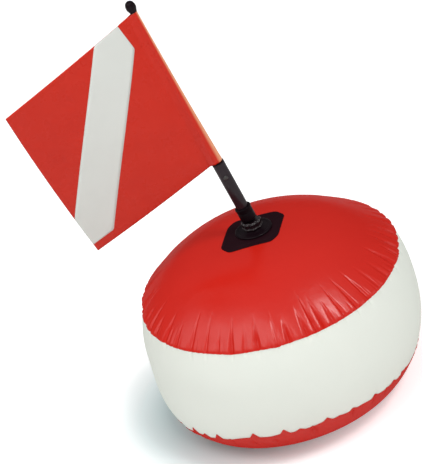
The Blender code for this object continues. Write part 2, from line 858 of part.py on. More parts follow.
def make_line_tab(material):
    """Webbing looped round the ring's bar, its two ends stitched flat above it."""
    axis = ring_axis()
    frame = add_frame("line_tab_axis", place(axis, math.pi / 2, "Y"))
    half = webbing_width / 2
    inner = ring_wire_radius + gap
    rows = [(-half, math.pi, inner), (half, math.pi, inner)]
    throat = inner + 2 * webbing_thickness + webbing_rise
    stations = [throat, throat + webbing_length / 2, throat + webbing_length]
    middles = [webbing_reach(line_height + reach) - axis.y for reach in stations]
    middles[0] = max(0.0, middles[0])

    def tail_points(row, side):
        level = rows[row][0]
        return [(-reach, middle - side * webbing_thickness, level)
                for reach, middle in zip(stations, middles)]

    mesh = sleeve_sheet("line_tab", rows, webbing_thickness, tail_points, throat)
    add_piece("line_tab", mesh, material, frame)


def make_line_ring(material):
    """D ring of round wire: a straight bar at the top and a bow below it."""
    frame = add_frame("line_ring_axis", Matrix.Translation(ring_axis()))
    curve = bpy.data.curves.new("line_ring", "CURVE")
    curve.dimensions = "3D"
    curve.bevel_depth = ring_wire_radius
    curve.bevel_resolution = 2
    curve.use_fill_caps = True
    points = [(-ring_half_width + ring_corner, 0.0), (0.0, 0.0), (ring_half_width - ring_corner, 0.0),
              (ring_half_width, -ring_corner)]
    for step in range(bow_steps + 1):
        angle = math.pi * step / bow_steps
        points.append((ring_half_width * math.cos(angle),
                       -ring_straight - ring_half_width * math.sin(angle)))
    points.append((-ring_half_width, -ring_corner))
    spline = curve.splines.new("POLY")
    spline.points.add(len(points) - 1)
    for point, (x, z) in zip(spline.points, points):
        point.co = (x, 0.0, z, 1.0)
    spline.use_cyclic_u = True
    spline.use_smooth = True
    add_piece("line_ring", curve, material, frame)


def main():
    clear_scene()
    red = make_material("red_film", (0.60, 0.035, 0.022), 0.32)
    white = make_material("white_film", (0.76, 0.78, 0.74), 0.38)
    black_film = make_material("black_film", (0.018, 0.014, 0.016), 0.45)
    black_plastic = make_material("black_plastic", (0.020, 0.018, 0.020), 0.35)
    black_rubber = make_material("black_rubber", (0.016, 0.014, 0.015), 0.55)
    flag_red = make_material("flag_red", (0.55, 0.030, 0.020), 0.42)
    flag_white = make_material("flag_white", (0.66, 0.67, 0.63), 0.45)
    glass_fibre = make_material("glass_fibre", (0.62, 0.50, 0.30), 0.35)
    clear_plastic = make_material("valve_plastic", (0.72, 0.73, 0.70), 0.30)
    steel = make_material("steel", (0.60, 0.60, 0.60), 0.25, 1.0)
    iron = make_material("ballast_metal", (0.20, 0.20, 0.22), 0.60, 1.0)
    webbing = make_material("webbing", (0.020, 0.020, 0.022), 0.80)

    make_top_panel(red)
    make_side_band(white)
    make_bottom_panel(red)
    make_ballast(iron, black_film)
    make_mast_patch(black_film)
    make_mast_foot(black_plastic)

    nut_frame = add_frame("nut_axis", Matrix.Translation(pivot))
    mast_frame = add_frame("mast_axis", place(pivot, -mast_lean, "Y"))
    make_clamp_nut(black_plastic, nut_frame)
    make_mast_socket(black_rubber, mast_frame)
    make_tube(black_plastic, mast_frame)
    make_tube_plug(black_plastic, mast_frame)
    make_rod_bush(black_plastic, mast_frame)
    make_rod(glass_fibre, mast_frame)
    make_rivet(steel, mast_frame)
    make_mast_cap(black_plastic, mast_frame)
    make_flag_sheet(flag_red, mast_frame)
    make_flag_stripe("flag_stripe_front", 1, flag_white, mast_frame)
    make_flag_stripe("flag_stripe_back", -1, flag_white, mast_frame)

    valve_frame = add_frame("valve_axis", valve_matrix())
    make_valve_stem(clear_plastic, valve_frame)
    make_valve_flap(clear_plastic, valve_frame)
    make_valve_strap(clear_plastic, valve_frame)
    make_valve_cap(clear_plastic, valve_frame)

    make_line_patch(black_film)
    make_line_tab(webbing)
    make_line_ring(steel)
    bpy.context.view_layer.update()


main()
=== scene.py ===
# %% [markdown]
# # A dive flag float
# A diver tows this float so that boats keep away. It is an air-filled cushion of three
# welded films, with a flag on a short mast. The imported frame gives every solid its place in
# metres, with +Z up and -Y towards the camera. This script dresses the frame: soft films are
# built anew as fine surfaces, and the moulded parts get smoother copies and finishes.

# %% Load the frame
import json
import math

import bmesh
import bpy
import numpy as np
from mathutils import Matrix, Vector


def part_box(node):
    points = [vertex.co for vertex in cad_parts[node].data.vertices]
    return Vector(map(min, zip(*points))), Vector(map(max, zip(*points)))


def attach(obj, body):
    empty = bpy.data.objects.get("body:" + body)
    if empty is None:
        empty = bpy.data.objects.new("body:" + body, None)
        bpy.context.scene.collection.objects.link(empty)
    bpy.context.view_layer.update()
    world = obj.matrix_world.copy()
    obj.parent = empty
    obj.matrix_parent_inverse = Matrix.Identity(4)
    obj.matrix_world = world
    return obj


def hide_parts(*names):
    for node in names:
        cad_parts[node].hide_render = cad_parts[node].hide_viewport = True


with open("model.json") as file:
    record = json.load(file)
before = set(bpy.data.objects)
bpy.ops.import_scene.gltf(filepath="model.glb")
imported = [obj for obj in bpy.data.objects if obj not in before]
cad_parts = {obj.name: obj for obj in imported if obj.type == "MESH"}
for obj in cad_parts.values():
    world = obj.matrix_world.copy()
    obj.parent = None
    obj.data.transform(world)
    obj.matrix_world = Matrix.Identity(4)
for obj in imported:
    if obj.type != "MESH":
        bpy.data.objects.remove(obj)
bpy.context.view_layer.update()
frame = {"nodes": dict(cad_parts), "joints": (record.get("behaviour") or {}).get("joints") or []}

joint_of = {joint["name"]: joint for joint in frame["joints"]}

# %% [markdown]
# ## Camera
# The photo looks down on the float by about 28 degrees, and the picture is rolled, so that
# the mast seems to lean far to the left. The camera's place and angles come from matching the
# float's two seams, its outline and the flag's corners. A roll turns the camera about the line
# that it looks along, and no lens shift is needed.

# %% Camera
camera_place = Vector((-0.0004, -1.4241, 1.0385))
look_down = 0.4938
look_side = -0.0358
camera_roll = 0.3438
focal_pixels = 1236.3
picture_height = 464
sensor_size = 36.0


def new_object(name, data):
    """A new object of the scene, for a mesh, a lamp or the camera."""
    thing = bpy.data.objects.new(name, data)
    bpy.context.scene.collection.objects.link(thing)
    return thing


def axes_matrix(place, across, above, back):
    """Matrix that carries X, Y and Z to three axes, and the origin to a place."""
    return Matrix.Translation(place) @ Matrix((across, above, back)).transposed().to_4x4()


def camera_matrix():
    """Axes from the angles: back points away from the scene, then level right, then the roll."""
    back = Vector((-math.sin(look_side) * math.cos(look_down),
                   -math.cos(look_side) * math.cos(look_down), math.sin(look_down)))
    level = Vector((0, 0, 1)).cross(back).normalized()
    up = back.cross(level)
    across = level * math.cos(camera_roll) - up * math.sin(camera_roll)
    above = level * math.sin(camera_roll) + up * math.cos(camera_roll)
    return axes_matrix(camera_place, across, above, back)


camera_data = bpy.data.cameras.new("camera")
camera_data.sensor_width = sensor_size
camera_data.lens = focal_pixels * sensor_size / picture_height
camera = new_object("camera", camera_data)
camera.matrix_world = camera_matrix()
bpy.context.scene.camera = camera
print("camera lens", round(camera_data.lens, 1), "mm")

# %% [markdown]
# ## Surfaces from arrays
# Every new piece is a grid of points: rows run one way over the surface and columns the other.
# A grid is easy to compute as one numpy array, and its faces follow from the numbering. Where
# a row shrinks to a single point, as at the pole of a dome, merging the doubled points turns
# the quads there into triangles and closes the pole.

# %% Grid to piece
merge_reach = 1e-6
smooth_angle = math.radians(38.0)


def grid_faces(rows, columns, around, closed):
    """Corner numbers of the quads: each point with its right, lower-right and lower neighbour."""
    number = np.arange(rows * columns).reshape(rows, columns)
    if around:
        number = np.concatenate([number, number[:, :1]], axis=1)
    if closed:
        number = np.concatenate([number, number[:1]], axis=0)
    corners = (number[:-1, :-1], number[:-1, 1:], number[1:, 1:], number[1:, :-1])
    return np.stack(corners, axis=-1).reshape(-1, 4)


def corner_values(values):
    """The UV of each quad's corners, in the order of the quads' corner numbers."""
    corners = (values[:-1, :-1], values[:-1, 1:], values[1:, 1:], values[1:, :-1])
    return np.stack(corners, axis=-2).reshape(-1, 2)


def merge_and_face_out(mesh, facing):
    """Merge doubled points; turn faces outwards, or leave or flip them on an open sheet."""
    body = bmesh.new()
    body.from_mesh(mesh)
    bmesh.ops.remove_doubles(body, verts=body.verts, dist=merge_reach)
    if facing == "out":
        bmesh.ops.recalc_face_normals(body, faces=body.faces)
    if facing == "flip":
        bmesh.ops.reverse_faces(body, faces=body.faces)
    body.to_mesh(mesh)
    body.free()


def smooth_piece(name, mesh, facing, angle=smooth_angle):
    """An object for a mesh that is merged, faced and shaded smooth but for its sharp edges."""
    merge_and_face_out(mesh, facing)
    mesh.shade_smooth()
    mesh.set_sharp_from_angle(angle=angle)
    return new_object(name, mesh)


def piece_of(name, grid, around=False, closed=False, uv=None, facing="out"):
    """A piece whose mesh is a grid of points, in the frame's own coordinates."""
    rows, columns = grid.shape[:2]
    mesh = bpy.data.meshes.new(name)
    mesh.from_pydata(grid.reshape(-1, 3), [], grid_faces(rows, columns, around, closed))
    if uv is not None:
        layer = mesh.uv_layers.new(name="cloth")
        layer.uv.foreach_set("vector", corner_values(uv).ravel())
    return smooth_piece(name, mesh, facing)


def dress(piece, finish, body, slot, *nodes):
    """Give a piece its finish, the body it rides on and the nodes it hides. The record slot is
    not used.
    """
    piece.data.materials.clear()
    piece.data.materials.append(finish)
    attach(piece, body)
    if nodes:
        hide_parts(*nodes)
    print(piece.name, "-", len(piece.data.polygons), "faces")


def thicken(piece, thickness, offset=-1.0):
    """Give an open sheet its wall: inwards from the shown side, or half each way at offset 0."""
    wall = piece.modifiers.new("wall", "SOLIDIFY")
    wall.thickness = thickness
    wall.offset = offset


# %% [markdown]
# ## Finishes
# All the float's skins are plasticised vinyl: a coloured film with a soft gloss. A real film
# is never one flat colour. It is a shade deeper here and there, and its surface has the faint
# orange peel of the rolls that made it. Both come from noise on Object coordinates, so that
# the pattern stays put when the part moves. Steady values sit on the shader's own sockets.

# %% Node tools
def feed(tree, node, inputs):
    """Set a node's inputs to steady values, or link them to other nodes' outputs."""
    for socket, value in inputs.items():
        if isinstance(value, bpy.types.NodeSocket):
            tree.links.new(value, node.inputs[socket])
        else:
            node.inputs[socket].default_value = value
    return node


def node_of(tree, kind, inputs):
    """A new node of a kind, with its inputs fed."""
    return feed(tree, tree.nodes.new("ShaderNode" + kind), inputs)


def combined(tree, operation, first, second):
    """Two values joined by an operation of arithmetic."""
    node = tree.nodes.new("ShaderNodeMath")
    node.operation = operation
    return feed(tree, node, {0: first, 1: second}).outputs[0]


def noise_of(tree, scale, detail=3.0, stretch=None):
    """Noise read at Object coordinates, scaled in cycles to the metre."""
    place = node_of(tree, "TexCoord", {}).outputs["Object"]
    if stretch:
        place = node_of(tree, "Mapping", {"Vector": place, "Scale": stretch}).outputs["Vector"]
    noise = node_of(tree, "TexNoise", {"Vector": place, "Scale": scale, "Detail": detail})
    return noise.outputs["Fac"]


def blended(tree, first, second, factor):
    """Colour that goes from a first to a second shade as the factor goes from 0 to 1."""
    mix = tree.nodes.new("ShaderNodeMix")
    mix.data_type = "RGBA"
    first, second = ((*shade, 1.0) if isinstance(shade, tuple) else shade
                     for shade in (first, second))
    return feed(tree, mix, {0: factor, 6: first, 7: second}).outputs[2]


def spread(tree, value, low, high, from_low=0.0, from_high=1.0):
    """A value moved from one range to another, and held inside it."""
    span = {"Value": value, "From Min": from_low, "From Max": from_high,
            "To Min": low, "To Max": high}
    return node_of(tree, "MapRange", span).outputs["Result"]


# %% Finish builders
coat_ior = 3.0
noise_low, noise_high = 0.3, 0.7


def base_finish(name, roughness, metallic=0.0, specular=0.5, coat=0.0, coat_roughness=0.1):
    """A material with its shader, and the steady values on the shader's sockets. A thin share
    of a dense coat gives a gloss that is nearly the same from all sides, where plain specular
    would pale the colour at the edges."""
    finish = bpy.data.materials.new(name)
    finish.use_nodes = True
    tree = finish.node_tree
    shader = feed(tree, tree.nodes["Principled BSDF"], {
        "Roughness": roughness, "Metallic": metallic, "Specular IOR Level": specular,
        "Coat Weight": coat, "Coat Roughness": coat_roughness, "Coat IOR": coat_ior})
    return finish, tree, shader


def bumped(tree, shader, height, distance, strength=1.0, under=None):
    """Tilt the shading by a height pattern, whose full swing is distance in metres."""
    inputs = {"Height": height, "Distance": distance, "Strength": strength}
    if under is not None:
        inputs["Normal"] = under
    normal = node_of(tree, "Bump", inputs).outputs["Normal"]
    feed(tree, shader, {"Normal": normal, "Coat Normal": normal})
    return normal


def colour_and_gloss(tree, shader, shades, gloss, colour_scale, gloss_scale):
    """Mottle the colour between two shades, and the roughness between two values."""
    feed(tree, shader, {
        "Base Color": blended(tree, *shades, noise_of(tree, colour_scale)),
        "Roughness": spread(tree, noise_of(tree, gloss_scale), *gloss, noise_low, noise_high)})


# %% Vinyl film finishes
film_mottle, film_wear = 14.0, 60.0
cockle_scale, cockle_height = 110.0, 0.00022
peel_scale, peel_height = 900.0, 0.00003


def film_finish(name, shades, gloss, coat, coat_roughness=0.36):
    """Vinyl film: slow mottling of colour and gloss, a soft cockle and a fine orange peel."""
    finish, tree, shader = base_finish(name, gloss[0], specular=0.0, coat=coat,
                                       coat_roughness=coat_roughness)
    colour_and_gloss(tree, shader, shades, gloss, film_mottle, film_wear)
    cockle = bumped(tree, shader, noise_of(tree, cockle_scale, detail=2.0), cockle_height)
    bumped(tree, shader, noise_of(tree, peel_scale, detail=2.0), peel_height, under=cockle)
    return finish


red_film = film_finish("red_film", ((0.570, 0.014, 0.007), (0.610, 0.018, 0.010)),
                       (0.40, 0.55), 0.105, 0.25)
white_film = film_finish("white_film", ((0.790, 0.825, 0.755), (0.825, 0.850, 0.780)),
                         (0.45, 0.60), 0.05)
black_film = film_finish("black_film", ((0.0130, 0.0030, 0.0055), (0.0190, 0.0055, 0.0085)),
                         (0.45, 0.60), 0.025)
print("films: red, white and black")

# %% [markdown]
# The moulded parts are black nylon and rubber. Moulding leaves a fine satin grain, and
# handling polishes it unevenly, so roughness wanders more than colour does.

# %% Moulded plastic, rubber and metal finishes
moulded_mottle, moulded_wear, grain_scale = 90.0, 240.0, 3500.0
moulded_coat_roughness = 0.12
metal_mottle, scratch_scale = 120.0, 900.0
scratch_stretch = (0.12, 1.0, 1.0)
scratch_height = 0.00001


def moulded_finish(name, shades, gloss, specular, grain=0.00002, coat=0.0):
    """Moulded plastic: an even colour with a fine grain and uneven gloss."""
    finish, tree, shader = base_finish(name, gloss[0], specular=specular, coat=coat,
                                       coat_roughness=moulded_coat_roughness)
    colour_and_gloss(tree, shader, shades, gloss, moulded_mottle, moulded_wear)
    bumped(tree, shader, noise_of(tree, grain_scale, detail=1.0), grain)
    return finish


def metal_finish(name, shades, gloss):
    """Polished metal: fine scratches as noise drawn out along one axis."""
    finish, tree, shader = base_finish(name, gloss[0], metallic=1.0)
    streaks = noise_of(tree, scratch_scale, stretch=scratch_stretch)
    feed(tree, shader, {"Base Color": blended(tree, *shades, noise_of(tree, metal_mottle)),
                        "Roughness": spread(tree, streaks, *gloss)})
    bumped(tree, shader, streaks, scratch_height)
    return finish


tube_plastic = moulded_finish("tube_plastic", ((0.012, 0.006, 0.009), (0.021, 0.012, 0.016)),
                              (0.30, 0.45), 0.04, coat=0.055)
nylon = moulded_finish("black_nylon", ((0.006, 0.0020, 0.0040), (0.009, 0.0040, 0.0060)),
                       (0.35, 0.50), 0.04, coat=0.02)
nut_nylon = moulded_finish("nut_nylon", ((0.008, 0.0030, 0.0045), (0.012, 0.0055, 0.0075)),
                           (0.35, 0.50), 0.05, coat=0.22)
rubber = moulded_finish("black_rubber", ((0.0035, 0.0012, 0.0025), (0.006, 0.0030, 0.0045)),
                        (0.32, 0.44), 0.05, grain=0.00003)
valve_vinyl = moulded_finish("valve_vinyl", ((0.66, 0.68, 0.64), (0.74, 0.75, 0.71)),
                             (0.28, 0.40), 0.30)
rod_resin = moulded_finish("rod_resin", ((0.56, 0.45, 0.27), (0.66, 0.54, 0.34)),
                           (0.25, 0.40), 0.40)
steel = metal_finish("steel", ((0.55, 0.55, 0.56), (0.66, 0.66, 0.66)), (0.16, 0.34))
dark_steel = metal_finish("dark_steel", ((0.050, 0.048, 0.047), (0.085, 0.083, 0.078)),
                          (0.34, 0.50))
ballast_metal = metal_finish("ballast_metal", ((0.16, 0.16, 0.18), (0.24, 0.24, 0.25)),
                             (0.5, 0.7))
print("moulded and metal finishes made")

# %% [markdown]
# ## The float's outline
# A flat-cut disc that is blown up can't stretch, so it domes and its edge has less way to go
# round than it had flat. The spare edge gathers into radial puckers. Each pucker is a crease,
# sharp at the weld, which fades a few centimetres in. Between two creases the film stands out
# as a small flat pillow, and those pillows catch the light.
#
# The outline has three parts that meet at two welded seams: the domed top, the band and the
# bottom panel. Each part is height or radius as a power law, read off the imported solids.

# %% Outline of the float
top_low, top_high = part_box("top_panel")
band_low, band_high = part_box("side_band")
keel_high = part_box("bottom_panel")[1]
seam_radius = top_high.x
float_radius = band_high.x
seam_high = (top_low.z + band_high.z) / 2
seam_low = (keel_high.z + band_low.z) / 2
crown_height = top_high.z - seam_high
band_height = seam_high - seam_low
crown_power, bulge_power, keel_power = 2.8, 2.2, 7.0
flat_cut = 0.0005


def crown_height_at(radius):
    """Height of the dome: the crown, less its height times (radius / seam radius) to a power."""
    return seam_high + crown_height * (1 - (radius / seam_radius) ** crown_power)


def keel_height_at(radius):
    """Height of the bottom panel: the same law upside down, cut flat at the floor."""
    full = seam_low + flat_cut
    height = seam_low - full * (1 - (radius / seam_radius) ** keel_power)
    return np.maximum(height, 0.0)


def band_radius_at(level):
    """Radius of the band: the seam's, plus a bulge that falls off from the middle as a power."""
    share = np.abs(2 * (level - seam_low) / band_height - 1)
    return seam_radius + (float_radius - seam_radius) * (1 - np.clip(share, 0, 1) ** bulge_power)


def normals_of(radius, level):
    """Unit normals (radial, upward) of a profile: each step along it, turned a quarter."""
    dr, dz = np.gradient(radius), np.gradient(level)
    length = np.hypot(dr, dz)
    return -dz / length, dr / length


print("seams at", round(seam_low, 4), "and", round(seam_high, 4), "m")

# %% Puckers round a seam
columns = 1104
full_turn = 2 * math.pi
around = np.arange(columns) * (full_turn / columns)
bearing_scatter = 0.34
valley_power, fade_power = 1.2, 1.3
faint_width = 0.35


def turn_from(bearings):
    """The turn from each bearing to every column, the shorter way round."""
    return (around[:, None] - bearings + math.pi) % full_turn - math.pi


def uneven(count, seed, start=0.0, end=360.0):
    """Bearings in radians, spread over an arc given in degrees, each a little off its place."""
    scatter = np.random.default_rng(seed).uniform(-bearing_scatter, bearing_scatter, count)
    return np.radians(start + (np.arange(count) + 0.5 + scatter) * (end - start) / count)


def pucker_set(bearing, seed, depth, reach, width, heave=0.0):
    """Creases at the given bearings, each with its own depth, reach in from the weld and
    width, and with the height at which the pillows beside it meet."""
    draw = np.random.default_rng(seed)
    count = len(bearing)
    return {"bearing": bearing, "depth": depth * draw.uniform(0.55, 1.35, count),
            "reach": reach * draw.uniform(0.55, 1.25, count),
            "width": width * draw.uniform(0.7, 1.4, count),
            "heave": heave * draw.uniform(-1, 1, count)}


def drawn_in(distance, puckers, puff=0.0):
    """How far the film is drawn in: the sum over creases of depth, times a valley with nearly
    straight sides, (1 - arc / width) to a power, times a fade to nothing at the crease's
    reach from the seam. A crease is narrower where it is fainter. The pillows' heave goes
    from crease to crease in straight lines, so that each pillow leans its own way, and the
    puff moves them all out."""
    arc = np.abs(turn_from(puckers["bearing"])) * seam_radius
    fade = np.clip(1 - distance[..., None] / puckers["reach"], 0, 1)
    width = puckers["width"] * (faint_width + (1 - faint_width) * fade)
    valley = np.clip(1 - arc / width, 0, 1) ** valley_power
    drawn = (puckers["depth"] * fade ** fade_power * valley).sum(axis=-1)
    level = np.interp(around, puckers["bearing"], puckers["heave"], period=full_turn)
    whole = np.clip(1 - distance / puckers["reach"].mean(), 0, 1) ** fade_power
    return drawn + whole * (level - puff)


front_creases = [-53, -44.5, -37, -31, -25, -19, -14, -6, -1, 6.5, 10.5, 14, 18.5, 23.5, 30, 37,
                 44.5, 52]
crease_bearings = np.concatenate([np.radians(front_creases), uneven(36, 5, 56, 304)])
crease_bearings = np.sort(crease_bearings % full_turn)
top_puckers = pucker_set(crease_bearings, 5, 0.0032, 0.050, 0.0048, heave=0.0016)
fine_puckers = pucker_set(uneven(96, 8), 8, 0.0010, 0.020, 0.0034)
low_puckers = pucker_set(uneven(34, 11), 11, 0.0040, 0.030, 0.0070)
pillow_puff = 0.0016


def top_drawn(distance):
    """Draw-in beside the upper seam: its creases and pillows, plus the fine ones."""
    return drawn_in(distance, top_puckers, pillow_puff) + drawn_in(distance, fine_puckers)


def low_drawn(distance):
    """Draw-in beside the lower seam: its creases, plus the fine ones at half depth."""
    return drawn_in(distance, low_puckers) + drawn_in(distance, fine_puckers) / 2


print("puckers:", len(top_puckers["bearing"]), "at the top seam and",
      len(low_puckers["bearing"]), "at the lower one")

# %% [markdown]
# The mast hangs over to the left, and the slack lower film bulges out and down on that side.
# Every film passes through the same lean, so that the seams stay shut.

# %% Lean and sweep
lean_out, lean_down, lean_side = 0.010, 0.006, 0.0025
lean_top = 0.130
lean_bearing, lean_width = math.radians(-65), math.radians(50)
lean_swell = np.exp(-np.abs(turn_from(lean_bearing)[:, 0] / lean_width) ** 2.5)


def smooth_step(value):
    """0 up to 0, 1 from 1 on, and 3 v^2 - 2 v^3 between them."""
    value = np.clip(value, 0, 1)
    return value ** 2 * (3 - 2 * value)


def leaning(reach, height, rest):
    """Points below lean_top move by a swell round the float, times a smooth step of height,
    times (radius / seam radius) cubed, and stop at their rest height."""
    step = smooth_step((lean_top - height) / (lean_top - seam_low))
    swell = lean_swell * step * np.clip(reach / seam_radius, 0, 1) ** 3
    sunk = np.maximum(height - lean_down * swell, np.minimum(height, rest))
    return reach + lean_out * swell, sunk


def placed(reach, height, rest=0.0):
    """Points from radii and heights by column, with the lean. Columns start at -Y, towards
    the camera, and run towards +X. The upper seam stands off a little to the right, by a
    smooth step of height times (radius / seam radius) squared."""
    step = smooth_step((height - lean_top) / (seam_high - lean_top))
    aside = lean_side * step * np.clip(reach / seam_radius, 0, 1) ** 2
    reach, height = leaning(reach, height, rest)
    return np.stack([reach * np.sin(around) + aside, -reach * np.cos(around), height], axis=-1)


def swept(radius, level, out, move, rest=0.0):
    """Points of a film: the profile swept round and moved along its normal (radial, upward)."""
    return placed(radius[:, None] + move * out[0][:, None],
                  level[:, None] + move * out[1][:, None], rest)


print("lean:", round(lean_out * 1000, 1), "mm out and", round(lean_down * 1000, 1), "mm down")

# %% [markdown]
# ## Side band
# The band is one strip of white film, closed into a ring. It follows the same creases as the
# panels it is welded to, so that no gap opens at a seam. Its puckers are shorter, because the
# band curves one way only. Like the panels, it has a wall: its rows run over the outside and
# back along the inside, which is never seen and has fewer of them.

# %% Side band
film_thickness = 0.0009
band_rows = 46
inner_step = 3
top_shortness, low_shortness = 3.2, 1.8


def inner_rows(count):
    """Numbers of the rows that the inside keeps: every third one and the last."""
    return np.unique(np.append(np.arange(0, count, inner_step), count - 1))


def band_drawn(level):
    """Draw-in of the band at a column of heights: each seam's creases, some times shorter
    than they are on its panel."""
    return (top_drawn((seam_high - level) * top_shortness)
            + low_drawn((level - seam_low) * low_shortness))


level = seam_low + (1 - np.cos(np.linspace(0, math.pi, band_rows))) / 2 * band_height
radius = band_radius_at(level)
outwards = np.stack([np.ones(band_rows), np.zeros(band_rows)])
drawn = band_drawn(level[:, None])
few = inner_rows(band_rows)
white_band = piece_of("white_band", np.concatenate([
    swept(radius, level, outwards, -drawn),
    swept(radius[few], level[few], outwards[:, few], -drawn[few] - film_thickness)[::-1]]),
    around=True, closed=True)
dress(white_band, white_film, "float", "white_film", "side_band")

# %% [markdown]
# ## Top and bottom panels
# Each red panel is a dome that runs a little past its seam and laps over the band, where it
# is welded. The lap's edge isn't even: at each pleat of the lower seam a small corner of red
# stands up on the white. The lap is the same surface carried on along the band, just outside
# it, for a width that depends on the bearing.

# %% Laps
lap_lift = 0.0007
lap_thickness = 0.0005
lap_rows = 8


def corners_at(bearings, heights, half_width):
    """Height of the pleats' corners: the highest of the triangles over the given bearings."""
    arc = np.abs(turn_from(bearings)) * seam_radius
    return (heights * np.clip(1 - arc / half_width, 0, 1)).max(axis=-1)


def lap_grid(direction, width, lift):
    """Rows of the lap: from the seam along the band by shares of the lap's width at each
    bearing, drawn in as the band is, and lifted off it."""
    seam_level = seam_high if direction > 0 else seam_low
    share = np.linspace(0, 1, lap_rows)[:, None]
    level = seam_level - direction * share * width[None, :]
    return placed(band_radius_at(level) + lift - band_drawn(level), level)


# %% Panels
rim_blend = 0.010
rim_share, middle_rows, rim_rows = 0.62, 14, 45


def run_along(path):
    """Length of a path from its first point to each of its points."""
    return np.concatenate([[0.0], np.cumsum(np.linalg.norm(np.diff(path, axis=0), axis=1))])


def panel_radii():
    """Radii of a panel's rows: wide apart over its middle, and 1.5 mm apart near the seam."""
    middle = np.linspace(0, rim_share, middle_rows, endpoint=False)
    return seam_radius * np.concatenate([middle, np.linspace(rim_share, 1, rim_rows)])


def panel_rows(height_of, drawn_of, side):
    """Outer and inner rows of a panel from its pole to the seam. The normal is turned level
    over the last centimetre, where the panel is folded down or up on the band."""
    radius = panel_radii()
    level = height_of(radius)
    out_r, out_z = side * np.stack(normals_of(radius, level))
    along = run_along(np.stack([radius, level], axis=-1))
    distance = along[-1] - along
    to_seam = np.clip(1 - distance / rim_blend, 0, 1)
    out = np.stack([out_r + (1 - out_r) * to_seam, out_z * (1 - to_seam)])
    move = lap_lift * to_seam[:, None] - drawn_of(distance[:, None])
    wall = film_thickness + (lap_thickness - film_thickness) * to_seam[:, None]
    few = inner_rows(len(radius))
    return (swept(radius, level, out, move),
            swept(radius[few], level[few], out[:, few], (move - wall)[few], film_thickness))


def make_panel(name, height_of, drawn_of, side, width, node):
    """A panel: its dome from pole to seam and its lap, and back along the inside."""
    outer, inner = panel_rows(height_of, drawn_of, side)
    lap = lap_grid(side, width, lap_lift)
    under = lap_grid(side, width, lap_lift - lap_thickness)
    rows = np.concatenate([outer, lap[1:], under[1::2][::-1], inner[::-1]])
    piece = piece_of(name, rows, around=True)
    dress(piece, red_film, "float", "red_film", node)


# %% Lap widths
front_corners = np.radians([-55.0, -49.0, -42.2, -25.8, -13.5, -7.3, 4.2, 9.2, 15.5, 26.5, 38.0,
                            47.5])
front_heights = np.array([11.0, 6.2, 8.6, 8.4, 8.4, 3.4, 6.0, 1.6, 4.8, 5.6, 4.2, 3.0]) * 1e-3
lap_bearings = np.radians([-110, -75, -62, -57, -52, -47, -41, -36, -29, -22, -16, -11, 0, 6, 11,
                           18, 23, 29, 34, 43, 52, 110])
lap_widths = np.array([0.9, 0.9, 3.0, 8.0, 10.0, 8.4, 10.4, 12.2, 14.6, 13.2, 12.6, 11.2, 10.9,
                       10.4, 9.0, 7.2, 7.0, 5.6, 3.6, 2.4, 0.9, 0.9]) * 1e-3
back_start, back_end, back_pace, back_scatter = 75.0, 285.0, 14.0, 4.0
slow_waves = ((0.0006, 23, 0.4), (0.0004, 41, 0.0))
low_half_width, high_half_width = 0.0062, 0.0045
upper_width, upper_corner = 0.0018, 0.0014


def lower_lap_width():
    """Width of the lower lap: a base that is wider over the front, where the film was cut
    generously, two slow sine waves of (height, count, shift), and the corners of the pleats."""
    draw = np.random.default_rng(23)
    back = np.arange(back_start, back_end, back_pace)
    back = back + draw.uniform(-back_scatter, back_scatter, len(back))
    bearings = np.concatenate([front_corners, np.radians(back)])
    heights = np.concatenate([front_heights, draw.uniform(0.0025, 0.0055, len(back))])
    base = np.interp(around, lap_bearings, lap_widths, period=full_turn)
    wave = sum(height * np.sin(count * around + shift) for height, count, shift in slow_waves)
    return base + wave + corners_at(bearings, heights, low_half_width)


def upper_lap_width():
    """Width of the upper lap: nearly even, a little more over each crease."""
    heights = upper_corner * top_puckers["depth"] / top_puckers["depth"].mean()
    return upper_width + corners_at(top_puckers["bearing"], heights, high_half_width)


make_panel("red_top", crown_height_at, top_drawn, 1, upper_lap_width(), "top_panel")
make_panel("red_bottom", keel_height_at, low_drawn, -1, lower_lap_width(), "bottom_panel")

# %% [markdown]
# ## Patches
# A black patch of heavy film spreads the mast's load over the crown, and another carries the
# line's ring low on the back. The first has eight corners, rounded, and a raised middle under
# the mast's foot. A patch is its outline shrunk towards its centre in steps and laid on the
# film, with a step in thickness where the welded margin ends.

# %% Patch tools
plate_gap = 0.0002


def quadratic(start, corner, end, steps):
    """Curves that leave each start and reach each end, bent towards a corner: (1 - t)^2 start
    + 2 t (1 - t) corner + t^2 end."""
    t = np.linspace(0, 1, steps)[None, :, None]
    start, corner, end = (points[:, None] for points in (start, corner, end))
    return ((1 - t) ** 2 * start + 2 * t * (1 - t) * corner + t ** 2 * end).reshape(-1, 2)


def softened(points, radius, steps=6):
    """A closed outline with each corner replaced by a curve that starts and ends a radius
    away along its two edges."""
    before, after = np.roll(points, 1, axis=0) - points, np.roll(points, -1, axis=0) - points
    into = before / np.linalg.norm(before, axis=1)[:, None]
    away = after / np.linalg.norm(after, axis=1)[:, None]
    return quadratic(points + into * radius, points, points + away * radius, steps)


def points_at(wanted, along, path):
    """Points of a flat path at the wanted lengths along it, on straight lines between its own."""
    return np.stack([np.interp(wanted, along, path[:, k]) for k in range(2)], axis=-1)


def spaced(points, count):
    """The same closed outline with a set number of points, evenly spaced along it."""
    loop = np.concatenate([points, points[:1]])
    along = run_along(loop)
    return points_at(np.linspace(0, along[-1], count, endpoint=False), along, loop)


def plate_rows(outline, place, steps):
    """Rows of a plate from its underside's centre, out, over the rim and in to the centre of
    its top. steps pairs each share of the outline with its height above the film."""
    shares, lifts = np.array(steps).T
    flat = np.concatenate([[0.0, 0.5], shares])[:, None, None] * outline[None]
    lift = np.concatenate([[plate_gap, plate_gap], plate_gap + lifts])[:, None]
    return place(flat[..., 0], flat[..., 1], np.broadcast_to(lift, flat.shape[:2]))


